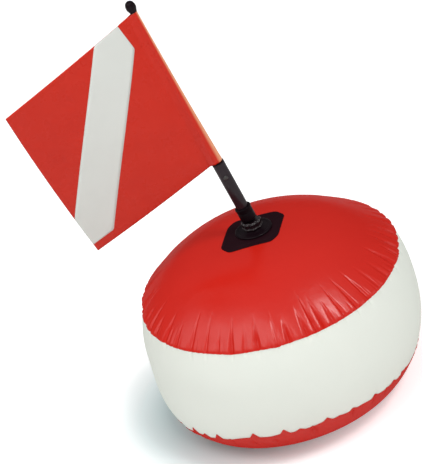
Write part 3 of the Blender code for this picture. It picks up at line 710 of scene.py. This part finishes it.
# %% Mast patch
patch_half = np.array([0.0470, 0.0415])
patch_shares = np.array([(-0.81, -0.80), (0.40, -0.98), (0.64, -0.73), (1.0, 0.40)])
patch_corner, patch_points = 0.0052, 168
patch_steps = [(1.0, 0.0), (1.0, 0.0004), (0.993, 0.0008), (0.975, 0.0009), (0.93, 0.0008),
               (0.85, 0.00075), (0.83, 0.0009), (0.815, 0.0013), (0.80, 0.0014), (0.74, 0.0013),
               (0.5, 0.0012), (0.25, 0.0012), (0.0, 0.0012)]


def on_crown(x, y, lift):
    """A point over the dome at x and y, lifted straight up."""
    return np.stack([x, y, crown_height_at(np.hypot(x, y)) + lift], axis=-1)


patch_outline = np.concatenate([patch_shares, -patch_shares]) * patch_half
patch_outline = spaced(softened(patch_outline, patch_corner), patch_points)
black_patch = piece_of("black_patch", plate_rows(patch_outline, on_crown, patch_steps),
                       around=True)
dress(black_patch, black_film, "float", "black_film", "mast_patch")

# %% [markdown]
# ## Turned and moulded parts
# The foot, ring nut, socket, tube and cap are round. Each is a profile turned about its axis,
# with every corner softened a little, as a mould leaves it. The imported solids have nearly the
# same sizes with fewer facets, so these stand for them.

# %% Turning tools
pivot = Vector(joint_of["mast_tilt"]["pos_m"])
mast_axis = Vector(joint_of["mast_pull"]["axis"]).normalized()
longest_cut = 0.45


def frame_along(origin, axis, side=Vector((0, 1, 0))):
    """Matrix with its Z along an axis and its Y near a side direction."""
    z = axis.normalized()
    x = side.cross(z).normalized()
    return np.array(axes_matrix(origin, x, z.cross(x), z))


mast_frame = frame_along(pivot, mast_axis)
upright_frame = frame_along(pivot, Vector((0, 0, 1)))


def carried(grid, matrix):
    """Points of a piece's own frame, carried into the part's frame."""
    return grid @ matrix[:3, :3].T + matrix[:3, 3]


def soft_profile(points, radius, steps=4):
    """A profile whose inner corners are replaced by curves, each no longer than a set share
    of the shorter edge beside it."""
    points = np.array(points, float)
    middle = points[1:-1]
    back, ahead = points[:-2] - middle, points[2:] - middle
    back_length, ahead_length = np.linalg.norm(back, axis=1), np.linalg.norm(ahead, axis=1)
    cut = np.minimum(radius, longest_cut * np.minimum(back_length, ahead_length))
    start = middle + back * (cut / back_length)[:, None]
    end = middle + ahead * (cut / ahead_length)[:, None]
    return np.concatenate([points[:1], quadratic(start, middle, end, steps), points[-1:]])


def turned_piece(name, points, matrix, corner, sides=96, ripple=None):
    """A piece turned from a profile of (radius, height): each point goes round as (radius cos,
    radius sin, height). A profile that starts and ends off the axis closes on itself.
    ripple(bearing, radius) adds to the radius, for lobes and grips."""
    closed = points[0][0] > 0
    profile = soft_profile(points + points[:2] if closed else points, corner)
    if closed:
        profile = profile[1:-1]
    turn = np.arange(sides) * (full_turn / sides)
    radius = np.repeat(profile[:, :1], sides, axis=1)
    height = np.repeat(profile[:, 1:], sides, axis=1)
    if ripple:
        radius = radius + ripple(turn[None, :], radius)
    grid = np.stack([radius * np.cos(turn), radius * np.sin(turn), height], axis=-1)
    return piece_of(name, carried(grid, matrix), around=True, closed=closed)


def arc_profile(radius, low, high, steps=14):
    """Points on a ball from one height to another, as (radius, height)."""
    angle = np.linspace(math.asin(low / radius), math.asin(high / radius), steps)
    return [(radius * math.cos(a), radius * math.sin(a)) for a in angle]


def off_corner(radius, height, *steps):
    """Points of a profile that lie off a corner of it by the given steps (out, up)."""
    return [(radius + out, height + up) for out, up in steps]


# %% Foot
clearance = 0.0003
foot_low, foot_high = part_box("mast_foot")
flange_radius = (foot_high.x - foot_low.x) / 2
foot_base = foot_low.z - pivot.z
flange_top = foot_base + 0.0022
cup_radius, cup_floor = 0.0084, -0.0081
spigot_radius = 0.0102
foot_profile = [
    (0, foot_base), (flange_radius, foot_base), (flange_radius, foot_base + 0.0014),
    *off_corner(flange_radius, flange_top, (-0.0010, 0), (-0.0036, 0), (-0.0044, -0.0005)),
    *off_corner(spigot_radius, flange_top, (0.0044, -0.0001), (0.0014, 0.0014), (0, 0.0026)),
    (spigot_radius, -clearance), *arc_profile(cup_radius, cup_floor, -clearance)[::-1],
    (0, -cup_radius)]
dress(turned_piece("foot_flange", foot_profile, upright_frame, corner=0.0005, sides=128),
      nylon, "float", "black_plastic", "mast_foot")

# %% [markdown]
# The ring nut has lobes for the fingers, and a chamfered roof that holds the ball.

# %% Ring nut
nut_low, nut_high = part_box("clamp_nut")
nut_lobes, lobe_depth = 8, 0.0006
nut_bore, nut_mouth = spigot_radius + clearance, 0.0070
nut_wall = (nut_high.x - nut_low.x) / 2 - lobe_depth + 0.0001
nut_bottom, nut_top = nut_low.z - pivot.z, nut_high.z - pivot.z
bore_margin, lobe_fade = 0.0004, 0.0010


def nut_ripple(bearing, radius):
    """Lobes of the outer wall alone: a cosine wave round the nut, faded out by the bore."""
    outer = np.clip((radius - nut_bore - bore_margin) / lobe_fade, 0, 1)
    return outer * lobe_depth * np.cos(nut_lobes * bearing)


nut_profile = [
    (nut_bore, nut_bottom),
    *off_corner(nut_wall, nut_bottom, (0, 0), (0, 0.0014), (-0.0006, 0.0022)),
    *off_corner(nut_wall, nut_top, (-0.0006, -0.0030), (-0.0002, -0.0022), (-0.0014, 0)),
    (nut_mouth, nut_top), *arc_profile(cup_radius, 0.0, 0.0047)[::-1], (nut_bore, 0.0)]
dress(turned_piece("ring_nut", nut_profile, upright_frame, corner=0.0004, sides=192,
                   ripple=nut_ripple),
      nut_nylon, "nut", "black_plastic", "clamp_nut")

# %% [markdown]
# The socket is a collar on the ball, with a bead at its mouth and a shallow groove below it.
# The tube stands in it, and has a rolled rim at its top end.

# %% Socket and tube
tube_radius, tube_wall = 0.0082, 0.0016
tube_start, tube_end = 0.0125, 0.0996
rim_roll = 0.00015
ball_radius, ball_neck = 0.008, 0.0052
collar_bore = tube_radius + clearance
collar_radius = collar_bore + 0.0021
collar_start, collar_end = 0.0079, 0.0280
collar_floor = tube_start - 0.0018
socket_profile = [
    (0, -ball_radius), *arc_profile(ball_radius, -0.0077, 0.0061), (ball_neck, collar_start),
    *off_corner(collar_radius, collar_start, (-0.0011, 0), (0, 0.0012)),
    *off_corner(collar_radius, collar_end, (0, -0.0082), (-0.0005, -0.0078), (-0.0005, -0.0070),
                (0, -0.0066), (0, -0.0034), (0.0004, -0.0026), (0.0004, -0.0008), (-0.0004, 0)),
    (collar_bore, collar_end), (collar_bore, collar_floor), (0, collar_floor)]
dress(turned_piece("socket_collar", socket_profile, mast_frame, corner=0.0004),
      rubber, "socket", "black_rubber", "mast_socket")

tube_bore = tube_radius - tube_wall
tube_profile = [
    (tube_bore, tube_start), (tube_radius, tube_start),
    *off_corner(tube_radius, tube_end, (0, -0.0022), (rim_roll, -0.0016), (0, 0)),
    (tube_bore, tube_end)]
dress(turned_piece("black_tube", tube_profile, mast_frame, corner=0.0005),
      tube_plastic, "mast", "black_plastic", "mast_tube")

# %% [markdown]
# A blind bush holds the rod in the tube's top end, with a thin flange over the rim, and a
# domed rivet through the tube pins it. The rivet has its own frame, across the mast. The
# rod's tip sits in a round knob with a waist.

# %% Bush, rivet, rod and knob
rod_radius = 0.0030
rod_start, rod_end = 0.0691, 0.3355
rod_hole = rod_radius + clearance
bush_radius, bush_start = tube_bore - clearance, tube_end - 0.032
bush_seat = tube_end + clearance
bush_top = bush_seat + 0.0010
bush_profile = [
    (0, bush_start), (bush_radius, bush_start), (bush_radius, bush_seat),
    (tube_radius, bush_seat), (tube_radius, bush_top), (rod_hole, bush_top),
    (rod_hole, rod_start - clearance), (0, rod_start - clearance)]
dress(turned_piece("rod_seat", bush_profile, mast_frame, corner=0.0003, sides=72),
      nylon, "mast", "black_plastic", "rod_bush")

rivet_place = Vector(mast_frame[:3, 3]) + mast_axis * (tube_end - 0.0205)
rivet_frame = frame_along(rivet_place, Vector((0, -1, 0)), Vector((1, 0, 0)))
rivet_seat = tube_radius + rim_roll
rivet_head = off_corner(0, rivet_seat, (0.0015, 0), (0.0031, 0), (0.0030, 0.0005),
                        (0.0021, 0.0012), (0, 0.0014))
rivet_profile = [(r, -z) for r, z in rivet_head[::-1]] + rivet_head
dress(turned_piece("rivet", rivet_profile, rivet_frame, corner=0.0003, sides=40),
      dark_steel, "mast", "steel", "mast_rivet")

flag_bottom, flag_hoist = 0.1020, 0.2230
knob_seat = flag_bottom + flag_hoist + clearance
knob_profile = [
    (0, rod_end + clearance), (rod_hole, rod_end + clearance), (rod_hole, knob_seat),
    *off_corner(0, knob_seat, (0.0046, 0), (0.0048, 0.0012), (0.0054, 0.0028), (0.0063, 0.0048),
                (0.0064, 0.0075), (0.0060, 0.0102), (0.0046, 0.0130), (0.0026, 0.0145),
                (0, 0.0149))]
dress(turned_piece("mast_knob", knob_profile, mast_frame, corner=0.0014, sides=72),
      nylon, "mast", "black_plastic", "mast_cap")

rod_profile = [(0, rod_start), (rod_radius, rod_start), (rod_radius, rod_end), (0, rod_end)]
dress(turned_piece("thin_rod", rod_profile, mast_frame, corner=0.0004, sides=48),
      rod_resin, "mast", "glass_fibre", "flag_rod")

# %% [markdown]
# ## Flag
# The flag is one sheet of coated cloth. Its edge is turned round the rod and welded back on
# itself, which leaves a loose sleeve that fits tighter at the top than at the bottom. The
# sheet hangs almost flat, with a slight belly, a droop towards its free edge, and ripples that
# fan out from the sleeve. A cloth simulation would let it hang limp, and the real one is
# stiffened by its coating, so the shape is worked out instead. A pale line painted along the
# sleeve's outer edge, where it curves round the rod, stands for the highlight that falls there.

# %% Flag surface
flag_width = 0.1980
flag_rows = 110
yaw_top, yaw_bottom = math.radians(15.0), math.radians(-2.0)
droop_top, droop_more = math.radians(7.4), math.radians(4.0)
belly_depth = 0.003
fan_height, fan_fade = 0.0006, 0.06
fan_down, fan_out, fan_shift = 3.2, 6, 0.1
lazy_height, lazy_length, lazy_shift = 0.0012, 0.26, 0.6
ripple_rise = 0.02
sheet_thickness = 0.0006
sleeve_radius, sleeve_flare = 0.00385, 0.0035
sleeve_throat = 0.011
hem_width, hem_drop = 0.012, 0.0009


def flag_ripple(reach, down):
    """Small waves: they start at the sleeve, run slantwise and die out towards the free edge."""
    slant = np.sin(full_turn * (fan_down * down + fan_out * reach + fan_shift))
    fan = np.exp(-reach / fan_fade) * fan_height * slant
    along = np.sin(full_turn * reach / lazy_length + lazy_shift)
    lazy = lazy_height * np.sin(math.pi * down) * along
    return (fan + lazy) * np.clip((reach - sleeve_throat) / ripple_rise, 0, 1)


def flag_points(reach, down, lift):
    """Points of the flag in the mast's frame: out from the mast by reach, turned by the yaw,
    lowered by the droop, and moved off the sheet's plane by belly, ripple and lift."""
    yaw = yaw_top + (yaw_bottom - yaw_top) * down
    droop = droop_top + droop_more * down
    belly = belly_depth * np.sin(math.pi * np.clip(reach / flag_width, 0, 1))
    off = belly + flag_ripple(reach, down) + lift
    flat = reach * np.cos(droop)
    x = -flat * np.cos(yaw) + off * np.sin(yaw)
    y = -flat * np.sin(yaw) - off * np.cos(yaw)
    z = flag_bottom + flag_hoist * (1 - down) - np.maximum(reach, 0) * np.sin(droop)
    return np.stack([x, y, z], axis=-1)


def sleeve_path(down):
    """The sheet's way round the rod at one height, as (reach, lift): along the welded hem on
    the back, round the rod in a loop that is looser lower down, and out along the front."""
    radius = sleeve_radius + sleeve_flare * down ** 2
    angle = np.linspace(math.radians(320), math.radians(40), 44)
    loop = np.stack([radius * np.cos(angle), radius * np.sin(angle)], axis=-1)
    hem_reach = np.linspace(sleeve_throat + hem_width, sleeve_throat, 6)
    hem = np.stack([hem_reach, np.full(6, -hem_drop)], axis=-1)
    between = np.linspace(0, 1, 7)[1:-1, None]
    lead_in = hem[-1] + (loop[0] - hem[-1]) * between
    lead_out = loop[-1] + (np.array([sleeve_throat, 0.0]) - loop[-1]) * between
    reach = sleeve_throat + (flag_width - sleeve_throat) * np.linspace(0, 1, 96)
    front = np.stack([reach, np.zeros(96)], axis=-1)
    return np.concatenate([hem, lead_in, loop, lead_out, front])


# %% Flag cloth finish
cloth_mottle, cloth_wear = 30.0, 80.0
thread_distortion, thread_strength = 0.4, 0.6


def thread_height(tree, scale):
    """Crossed threads as the product of two waves on the UV map, in threads to the metre."""
    place = node_of(tree, "TexCoord", {}).outputs["UV"]
    waves = []
    for direction in ("X", "Y"):
        wave = node_of(tree, "TexWave", {"Vector": place, "Scale": scale,
                                         "Distortion": thread_distortion})
        wave.bands_direction = direction
        waves.append(wave.outputs["Fac"])
    return combined(tree, "MULTIPLY", *waves)


def cloth_finish(name, shades, gloss, specular, threads=210.0, depth=0.00004):
    """Coated cloth: crossed threads seen faintly through the coating, with a slow mottle."""
    finish, tree, shader = base_finish(name, gloss[0], specular=specular)
    colour_and_gloss(tree, shader, shades, gloss, cloth_mottle, cloth_wear)
    bumped(tree, shader, thread_height(tree, threads), depth, thread_strength)
    return finish


def painted_highlight_along(finish, shade, start, end, blur):
    """A painted highlight, a paler line along the cloth between two places on the UV
    map's first axis, in metres.
    """
    tree = finish.node_tree
    place = node_of(tree, "TexCoord", {}).outputs["UV"]
    reach = node_of(tree, "SeparateXYZ", {"Vector": place}).outputs["X"]
    rise = spread(tree, reach, 0.0, 1.0, start - blur, start + blur)
    fall = spread(tree, reach, 1.0, 0.0, end - blur, end + blur)
    inside = combined(tree, "MULTIPLY", rise, fall)
    colour = tree.nodes["Principled BSDF"].inputs["Base Color"]
    tree.links.new(blended(tree, colour.links[0].from_socket, shade, inside), colour)


flag_red = cloth_finish("flag_red", ((0.540, 0.018, 0.007), (0.590, 0.024, 0.010)),
                        (0.24, 0.34), 0.18)
# Painted highlight: a pale peach line down the sleeve's outer edge.
painted_highlight_along(flag_red, (0.80, 0.33, 0.17), 0.0290, 0.0338, 0.0010)
flag_white = cloth_finish("flag_white", ((0.660, 0.685, 0.645), (0.705, 0.730, 0.690)),
                          (0.40, 0.52), 0.15)
webbing = cloth_finish("black_webbing", ((0.012, 0.011, 0.012), (0.024, 0.022, 0.023)),
                       (0.75, 0.90), 0.2, threads=260.0, depth=0.0003)

# %% Flag
downs = np.linspace(0, 1, flag_rows)
paths = np.stack([sleeve_path(down) for down in downs])
flag_grid = flag_points(paths[..., 0], downs[:, None], paths[..., 1])
flag_along = run_along(paths[0])
flag_uv = np.stack(np.meshgrid(flag_along, downs * flag_hoist), axis=-1)
flag_cloth = piece_of("flag_cloth", carried(flag_grid, mast_frame), uv=flag_uv,
                      facing="as built")
thicken(flag_cloth, sheet_thickness, 0.0)
dress(flag_cloth, flag_red, "flag", "flag_red", "flag_sheet")

# %% [markdown]
# The white stripe is a film pressed on both faces. It runs from the top edge near the mast to
# the free edge near the bottom, and its borders are three lines each.

# %% Stripe films
stripe_shares = np.array([(0.130, 0.0), (0.315, 0.0), (1.0, 0.739), (1.0, 0.947),
                          (0.825, 0.947), (0.105, 0.160)])
stripe_size = stripe_shares * np.array([flag_width, flag_hoist])
stripe_lift, stripe_thickness = 0.0006, 0.00025
stripe_knots = np.array([0.0, 0.15, 0.87, 1.0])
end_allowance, offcut = 1.18, 1.06


def stripe_rows(rows=90, across=14):
    """Shares of the flag's width and hoist in rows that sweep the stripe from its first corner
    to its last: each runs from the upper border to the lower one."""
    way = np.linspace(0, 1, rows)
    upper = points_at(way, stripe_knots, stripe_shares[[0, 1, 2, 3]])[:, None]
    lower = points_at(way, stripe_knots, stripe_shares[[0, 5, 4, 3]])[:, None]
    t = np.linspace(0, 1, across)[None, :, None]
    return upper * (1 - t) + lower * t


def stripe_area():
    """Area of the stripe's outline by the shoelace sum, in square metres."""
    x, y = stripe_size.T
    return float(abs(np.sum(x * np.roll(y, -1) - y * np.roll(x, -1))) / 2)


def stripe_cut():
    """Width and length of the slanting strip that the stripe is cut from."""
    run = stripe_size[[2, 3, 4]].mean(axis=0) - stripe_size[[0, 1, 5]].mean(axis=0)
    length = float(np.linalg.norm(run)) * end_allowance
    return stripe_area() / length * offcut, length


for name, side, node in (("front_stripe", 1, "flag_stripe_front"),
                         ("back_stripe", -1, "flag_stripe_back")):
    shares = stripe_rows()
    grid = flag_points(shares[..., 0] * flag_width, shares[..., 1], side * stripe_lift)
    stripe = piece_of(name, carried(grid, mast_frame), facing="as built" if side < 0 else "flip",
                      uv=shares * np.array([flag_width, flag_hoist]))
    thicken(stripe, stripe_thickness)
    dress(stripe, flag_white, "flag", "flag_white", node)
print("stripe cut", [round(size, 3) for size in stripe_cut()], "area", round(stripe_area(), 4))

# %% [markdown]
# ## Inflation valve
# The valve sits in the band's back, where the camera can't see it. It is a soft moulding: a
# stem with a welded flange, a non-return flap at its inner end, and a cap on a strap. The
# round pieces are turned. The strap and the cap are unions of round and flat shapes, so their
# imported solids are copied, merged and given rounded edges.

# %% Valve
valve_place = Vector((0.094941, 0.164442, 0.128))
valve_out = Vector((0.49973, 0.86557, 0.03257))
valve_frame = frame_along(valve_place, valve_out)
stem_radius, stem_bore = 0.0065, 0.0042
stem_inner, stem_outer = -0.010, 0.0140
flange_reach = 0.016
flap_radius, flap_inner, flap_outer = 0.0058, -0.0113, -0.0103
copy_smooth, copy_edge, copy_bevel = math.radians(32.0), math.radians(40.0), 0.0004

stem_profile = [
    (stem_bore, stem_inner), (stem_radius, stem_inner), (stem_radius, 0.0003),
    (flange_reach, 0.0), (flange_reach, 0.0006), (stem_radius + 0.0012, 0.0013),
    (stem_radius, 0.0024), (stem_radius, stem_outer), (stem_bore, stem_outer)]
dress(turned_piece("valve_neck", stem_profile, valve_frame, corner=0.0005, sides=72),
      valve_vinyl, "float", "valve_plastic", "valve_stem")

flap_profile = [(0, flap_inner), (flap_radius, flap_inner), (flap_radius, flap_outer),
                (0, flap_outer)]
dress(turned_piece("valve_disc", flap_profile, valve_frame, corner=0.0003, sides=48),
      rubber, "flap", "valve_plastic", "valve_flap")

for name, node, body in (("valve_tongue", "valve_strap", "float"),
                         ("valve_stopper", "valve_cap", "valve_lid")):
    piece = smooth_piece(name, frame["nodes"][node].data.copy(), "out", copy_smooth)
    edge = piece.modifiers.new("edge", "BEVEL")
    edge.width = copy_bevel
    edge.segments = 2
    edge.limit_method = "ANGLE"
    edge.angle_limit = copy_edge
    dress(piece, valve_vinyl, body, "valve_plastic", node)

# %% [markdown]
# ## Line ring
# The diver's line clips to a D ring low on the back. The ring is round wire, so it is a circle
# carried along a D-shaped path. The webbing loop is woven, and it is stitched to its patch
# with two rows of thread.

# %% Line patch
ring_pos = Vector(joint_of["ring_swing"]["pos_m"])
line_height = ring_pos.z
line_half = np.array([0.026, 0.022])
line_corner, line_points = 0.010, 96
line_steps = [(1.0, 0.0), (1.0, 0.0004), (0.985, 0.0008), (0.95, 0.0009), (0.86, 0.0008),
              (0.84, 0.0009), (0.82, 0.0011), (0.5, 0.0011), (0.25, 0.0011), (0.0, 0.0011)]


def on_back(x, y, lift):
    """Point of the band's back at x along it and y up from the line patch's middle."""
    reach = band_radius_at(line_height + y) + lift
    bearing = x / float_radius
    return np.stack([reach * np.sin(bearing), reach * np.cos(bearing), line_height + y], axis=-1)


line_outline = np.array([(-1, -1), (1, -1), (1, 1), (-1, 1)]) * line_half
line_outline = spaced(softened(line_outline, line_corner), line_points)
line_base = piece_of("line_base", plate_rows(line_outline, on_back, line_steps), around=True)
dress(line_base, black_film, "float", "black_film", "line_patch")

# %% D ring
wire_radius, wire_sides = 0.0020, 24
ring_half_width, ring_straight, ring_corner = 0.0150, 0.010, 0.003


def ring_path():
    """The D from the front: a straight bar with rounded ends, and a half circle below it."""
    angle = np.linspace(0, math.pi, 40)
    bow = np.stack([ring_half_width * np.cos(angle),
                    -ring_straight - ring_half_width * np.sin(angle)], axis=-1)
    left, right = np.array([(-ring_half_width, 0.0)]), np.array([(ring_half_width, 0.0)])
    level, down = np.array([(ring_corner, 0)]), np.array([(0, -ring_corner)])
    left = quadratic(left + down, left, left + level, 8)
    right = quadratic(right - level, right, right + down, 8)
    bar = np.linspace(left[-1], right[0], 12)[1:-1]
    return np.concatenate([left, bar, right, bow])


def wire_grid(path):
    """A circle carried along a flat closed path, across the path's own direction."""
    along = np.roll(path, -1, axis=0) - np.roll(path, 1, axis=0)
    along /= np.linalg.norm(along, axis=1)[:, None]
    side = np.stack([along[:, 1], -along[:, 0]], axis=-1)
    turn = np.arange(wire_sides) * (full_turn / wire_sides)
    flat = path[:, None] + wire_radius * np.cos(turn)[None, :, None] * side[:, None]
    depth = np.broadcast_to(wire_radius * np.sin(turn), flat.shape[:2])
    return np.stack([flat[..., 0], depth, flat[..., 1]], axis=-1) + np.array(ring_pos)


steel_ring = piece_of("steel_ring", wire_grid(ring_path()), around=True, closed=True)
dress(steel_ring, steel, "ring", "steel", "line_ring")

# %% Webbing tab
strap_half, strap_thickness = 0.0100, 0.0012
strap_loop = wire_radius + clearance + strap_thickness / 2
strap_low, strap_top = 0.0065, 0.0195
patch_rise = 0.0016
under_lift, over_lift, stitch_lift = (share * strap_thickness for share in (0.5, 1.6, 2.15))


def off_back(up):
    """Distance from the float's axis of the line patch's face at heights above the bar."""
    return band_radius_at(line_height + up) + patch_rise


def tab_path():
    """The webbing from the side, as (out from the ring's bar, up): down the patch, round the
    bar and up again, with both layers lying flat above it."""
    up = np.linspace(strap_low, strap_top, 12)
    patch_face = off_back(up) - ring_pos.y
    under = np.stack([patch_face + under_lift, up], axis=-1)[::-1]
    over = np.stack([patch_face + over_lift, up], axis=-1)
    angle = np.linspace(math.radians(140), math.radians(400), 26)
    loop = strap_loop * np.stack([np.cos(angle), np.sin(angle)], axis=-1)
    return np.concatenate([under, loop, over])


path = tab_path()
across = np.linspace(-strap_half, strap_half, 21)
out, up = (np.repeat(column[:, None], len(across), axis=1) for column in path.T)
tab_grid = np.stack([np.broadcast_to(across, out.shape), out + ring_pos.y, up + line_height],
                    axis=-1)
tab_along = run_along(path)
webbing_tab = piece_of("webbing_tab", tab_grid, facing="as built",
                       uv=np.stack(np.meshgrid(across, tab_along), axis=-1))
thicken(webbing_tab, strap_thickness * 0.9, 0.0)
dress(webbing_tab, webbing, "float", "webbing", "line_tab")

# %% Stitches
thread = moulded_finish("black_thread", ((0.030, 0.028, 0.030), (0.050, 0.047, 0.050)),
                        (0.5, 0.7), 0.3)
stitch_half, stitch_radius, stitch_sides = 0.00095, 0.00032, 8
stitch_heights = np.array([0.0090, 0.0170])


def stitch_grid(centres):
    """Small spindles, one for each stitch: a circle that swells and shrinks as a sine along X."""
    way = np.linspace(0, 1, 7)
    turn = np.arange(stitch_sides) * (full_turn / stitch_sides)
    swell = (stitch_radius * np.sin(math.pi * way) ** 0.5)[:, None]
    length = np.repeat(((way * 2 - 1) * stitch_half)[:, None], stitch_sides, axis=1)
    shape = np.stack([length, swell * np.cos(turn), swell * np.sin(turn)], axis=-1)
    return centres[:, None, None] + shape[None]


stitch_out = off_back(stitch_heights) + stitch_lift
stitches = stitch_grid(np.array([(x, y, line_height + up)
                                 for up, y in zip(stitch_heights, stitch_out)
                                 for x in np.linspace(-0.0078, 0.0078, 7)]))
count, rows, ring = stitches.shape[:3]
first_points = (np.arange(count) * rows * ring)[:, None, None]
stitch_mesh = bpy.data.meshes.new("tab_stitches")
stitch_mesh.from_pydata(stitches.reshape(-1, 3), [],
                        (grid_faces(rows, ring, True, False)[None] + first_points).reshape(-1, 4))
dress(smooth_piece("tab_stitches", stitch_mesh, "out"), thread, "float", "webbing")

# %% [markdown]
# ## Ballast
# A metal disc under its own pocket of film keeps the float upright. It lies inside, so it
# gets a simple finish, and the pocket is turned with a few wrinkles in its flange.

# %% Ballast pocket and carried parts
pocket_low, pocket_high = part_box("ballast_pocket")
low, top = pocket_low.z, pocket_high.z
wrinkle_count, wrinkle_height, wrinkle_start, wrinkle_fade = 22, 0.0005, 0.036, 0.008
pocket_rim, pocket_inside = pocket_high.x - 0.0006, 0.0343
pocket_outside = pocket_inside + film_thickness


def pocket_ripple(bearing, radius):
    """Wrinkles of the pocket's flange: a sine wave round it that grows outwards."""
    grown = np.clip((radius - wrinkle_start) / wrinkle_fade, 0, 1)
    return wrinkle_height * np.sin(wrinkle_count * bearing) * grown


pocket_profile = [
    (0, top - film_thickness), (pocket_inside, top - film_thickness), (pocket_inside, low),
    (pocket_rim, low), (pocket_rim, low + film_thickness), (pocket_outside, low + film_thickness),
    (pocket_outside, top), (0, top)]
pocket_frame = frame_along(Vector((0, 0, 0)), Vector((0, 0, 1)))
dress(turned_piece("weight_pocket", pocket_profile, pocket_frame, corner=0.0004, sides=132,
                   ripple=pocket_ripple),
      black_film, "float", "black_film", "ballast_pocket")
for node, finish in {"tube_plug": nylon, "ballast_weight": ballast_metal}.items():
    for carried_slot in frame["nodes"][node].material_slots:
        carried_slot.material = finish
    print("carried:", node)

# %% [markdown]
# ## Floor, background and light
# The photo is a cut-out on white with a soft shadow. The floor is a plain pale plane. For the
# camera it also glows a little, which lifts it to white where no shadow falls, and the lamps
# stay at the level that shows the colours as they are. Round a middle a little left of the
# float, the glow fades out and the floor turns darker and cooler: a painted shadow that adds
# to the lamps' own. The photo's shadow is soft, and deepest at the lower left, where the mast
# hangs over. A wide sun stands to the right in front, and a weaker one on the left fills its
# shadow. Three area lamps give the film and the plastic their glints.

# %% Floor
half_floor = 20.0
# Painted shadow: round this middle, out to the reach, the floor's glow fades and its colour
# darkens and cools.
painted_shadow_middle = (-0.08, 0.02, 0.0)
painted_shadow_reach = (0.115, 0.225)
painted_shadow_glow = (0.01, 0.46)
painted_shadow_colour = (0.56, 0.74, 0.745)
floor_far = (0.93, 0.93, 0.93)


def seen_directly(tree):
    """1 where the camera, a reflection or a see-through surface looks, and 0 elsewhere."""
    path = node_of(tree, "LightPath", {}).outputs
    seen = combined(tree, "MAXIMUM", path["Is Camera Ray"], path["Is Glossy Ray"])
    return combined(tree, "MAXIMUM", seen, path["Is Transmission Ray"])


def floor_finish():
    """Pale diffuse floor. Away from the float it glows for what looks at it directly, so that
    it is plain white there. Near the float the glow fades out and the floor turns darker and
    cooler: a painted shadow, whose cool tint also makes up for the red the film throws on it."""
    finish = bpy.data.materials.new("floor")
    finish.use_nodes = True
    tree = finish.node_tree
    tree.nodes.clear()
    place = node_of(tree, "TexCoord", {}).outputs["Object"]
    distance = tree.nodes.new("ShaderNodeVectorMath")
    distance.operation = "DISTANCE"
    away = feed(tree, distance, {0: place, 1: painted_shadow_middle}).outputs["Value"]
    shade = blended(tree, painted_shadow_colour, floor_far, spread(tree, away, 0.0, 1.0, *painted_shadow_reach))
    glow = combined(tree, "MULTIPLY", seen_directly(tree),
                    spread(tree, away, *painted_shadow_glow, *painted_shadow_reach))
    both = node_of(tree, "AddShader", {
        0: node_of(tree, "BsdfDiffuse", {"Color": shade}).outputs[0],
        1: node_of(tree, "Emission", {"Strength": glow}).outputs[0]})
    node_of(tree, "OutputMaterial", {"Surface": both.outputs[0]})
    return finish


floor_mesh = bpy.data.meshes.new("floor")
floor_corners = [(x * half_floor, y * half_floor, 0)
                 for x, y in ((-1, -1), (1, -1), (1, 1), (-1, 1))]
floor_mesh.from_pydata(floor_corners, [], [(0, 1, 2, 3)])
floor_mesh.materials.append(floor_finish())
floor = new_object("floor", floor_mesh)
print("floor", 2 * half_floor, "m wide")

# %% Lamps and world
def lamp_of(name, kind, power):
    """A lamp of a kind, with its power."""
    data = bpy.data.lights.new(name, kind)
    data.energy = power
    return new_object(name, data)


def area_lamp(name, place, aim, size, power, along=(1, 0, 0)):
    """A rectangular soft lamp that faces a point, with its width along a direction."""
    lamp = lamp_of(name, "AREA", power)
    lamp.data.shape = "RECTANGLE"
    lamp.data.size, lamp.data.size_y = size
    back = (Vector(place) - Vector(aim)).normalized()
    above = back.cross(Vector(along)).normalized()
    lamp.matrix_world = axes_matrix(Vector(place), above.cross(back), above, back)


def sun_lamp(name, direction, angle, power):
    """A far lamp that shines from a direction over the whole floor alike."""
    lamp = lamp_of(name, "SUN", power)
    lamp.data.angle = math.radians(angle)
    lamp.rotation_euler = Vector(direction).to_track_quat("Z", "Y").to_euler()


def studio_world(horizon, zenith):
    """A light tent: dim walls, and a ceiling that brightens towards the zenith."""
    world = bpy.data.worlds.new("studio")
    world.use_nodes = True
    tree = world.node_tree
    place = node_of(tree, "TexCoord", {}).outputs["Generated"]
    height = node_of(tree, "SeparateXYZ", {"Vector": place}).outputs["Z"]
    feed(tree, tree.nodes["Background"], {
        "Color": (1.0, 1.0, 1.0, 1.0),
        "Strength": spread(tree, height, horizon, zenith, 0.2, 1.0)})
    bpy.context.scene.world = world


studio_world(0.26, 0.50)
sun_lamp("key", (0.42, -0.32, 0.85), 16.0, 1.00)
sun_lamp("fill", (-0.80, 0.12, 0.60), 25.0, 0.32)
area_lamp("strip", (-0.50, -0.53, 1.22), (0.0, -0.15, 0.20), (1.10, 0.46), 4.6,
          (0.65, -0.40, 0.16))
area_lamp("front", (-0.30, -1.60, 0.70), (0.0, 0.0, 0.12), (0.8, 0.8), 3.4)
area_lamp("side", (1.25, -0.55, 0.75), (0.0, 0.0, 0.20), (0.5, 0.8), 1.6)
bpy.context.scene.view_settings.view_transform = "Standard"
print("lamps: key, fill, strip, front and side")
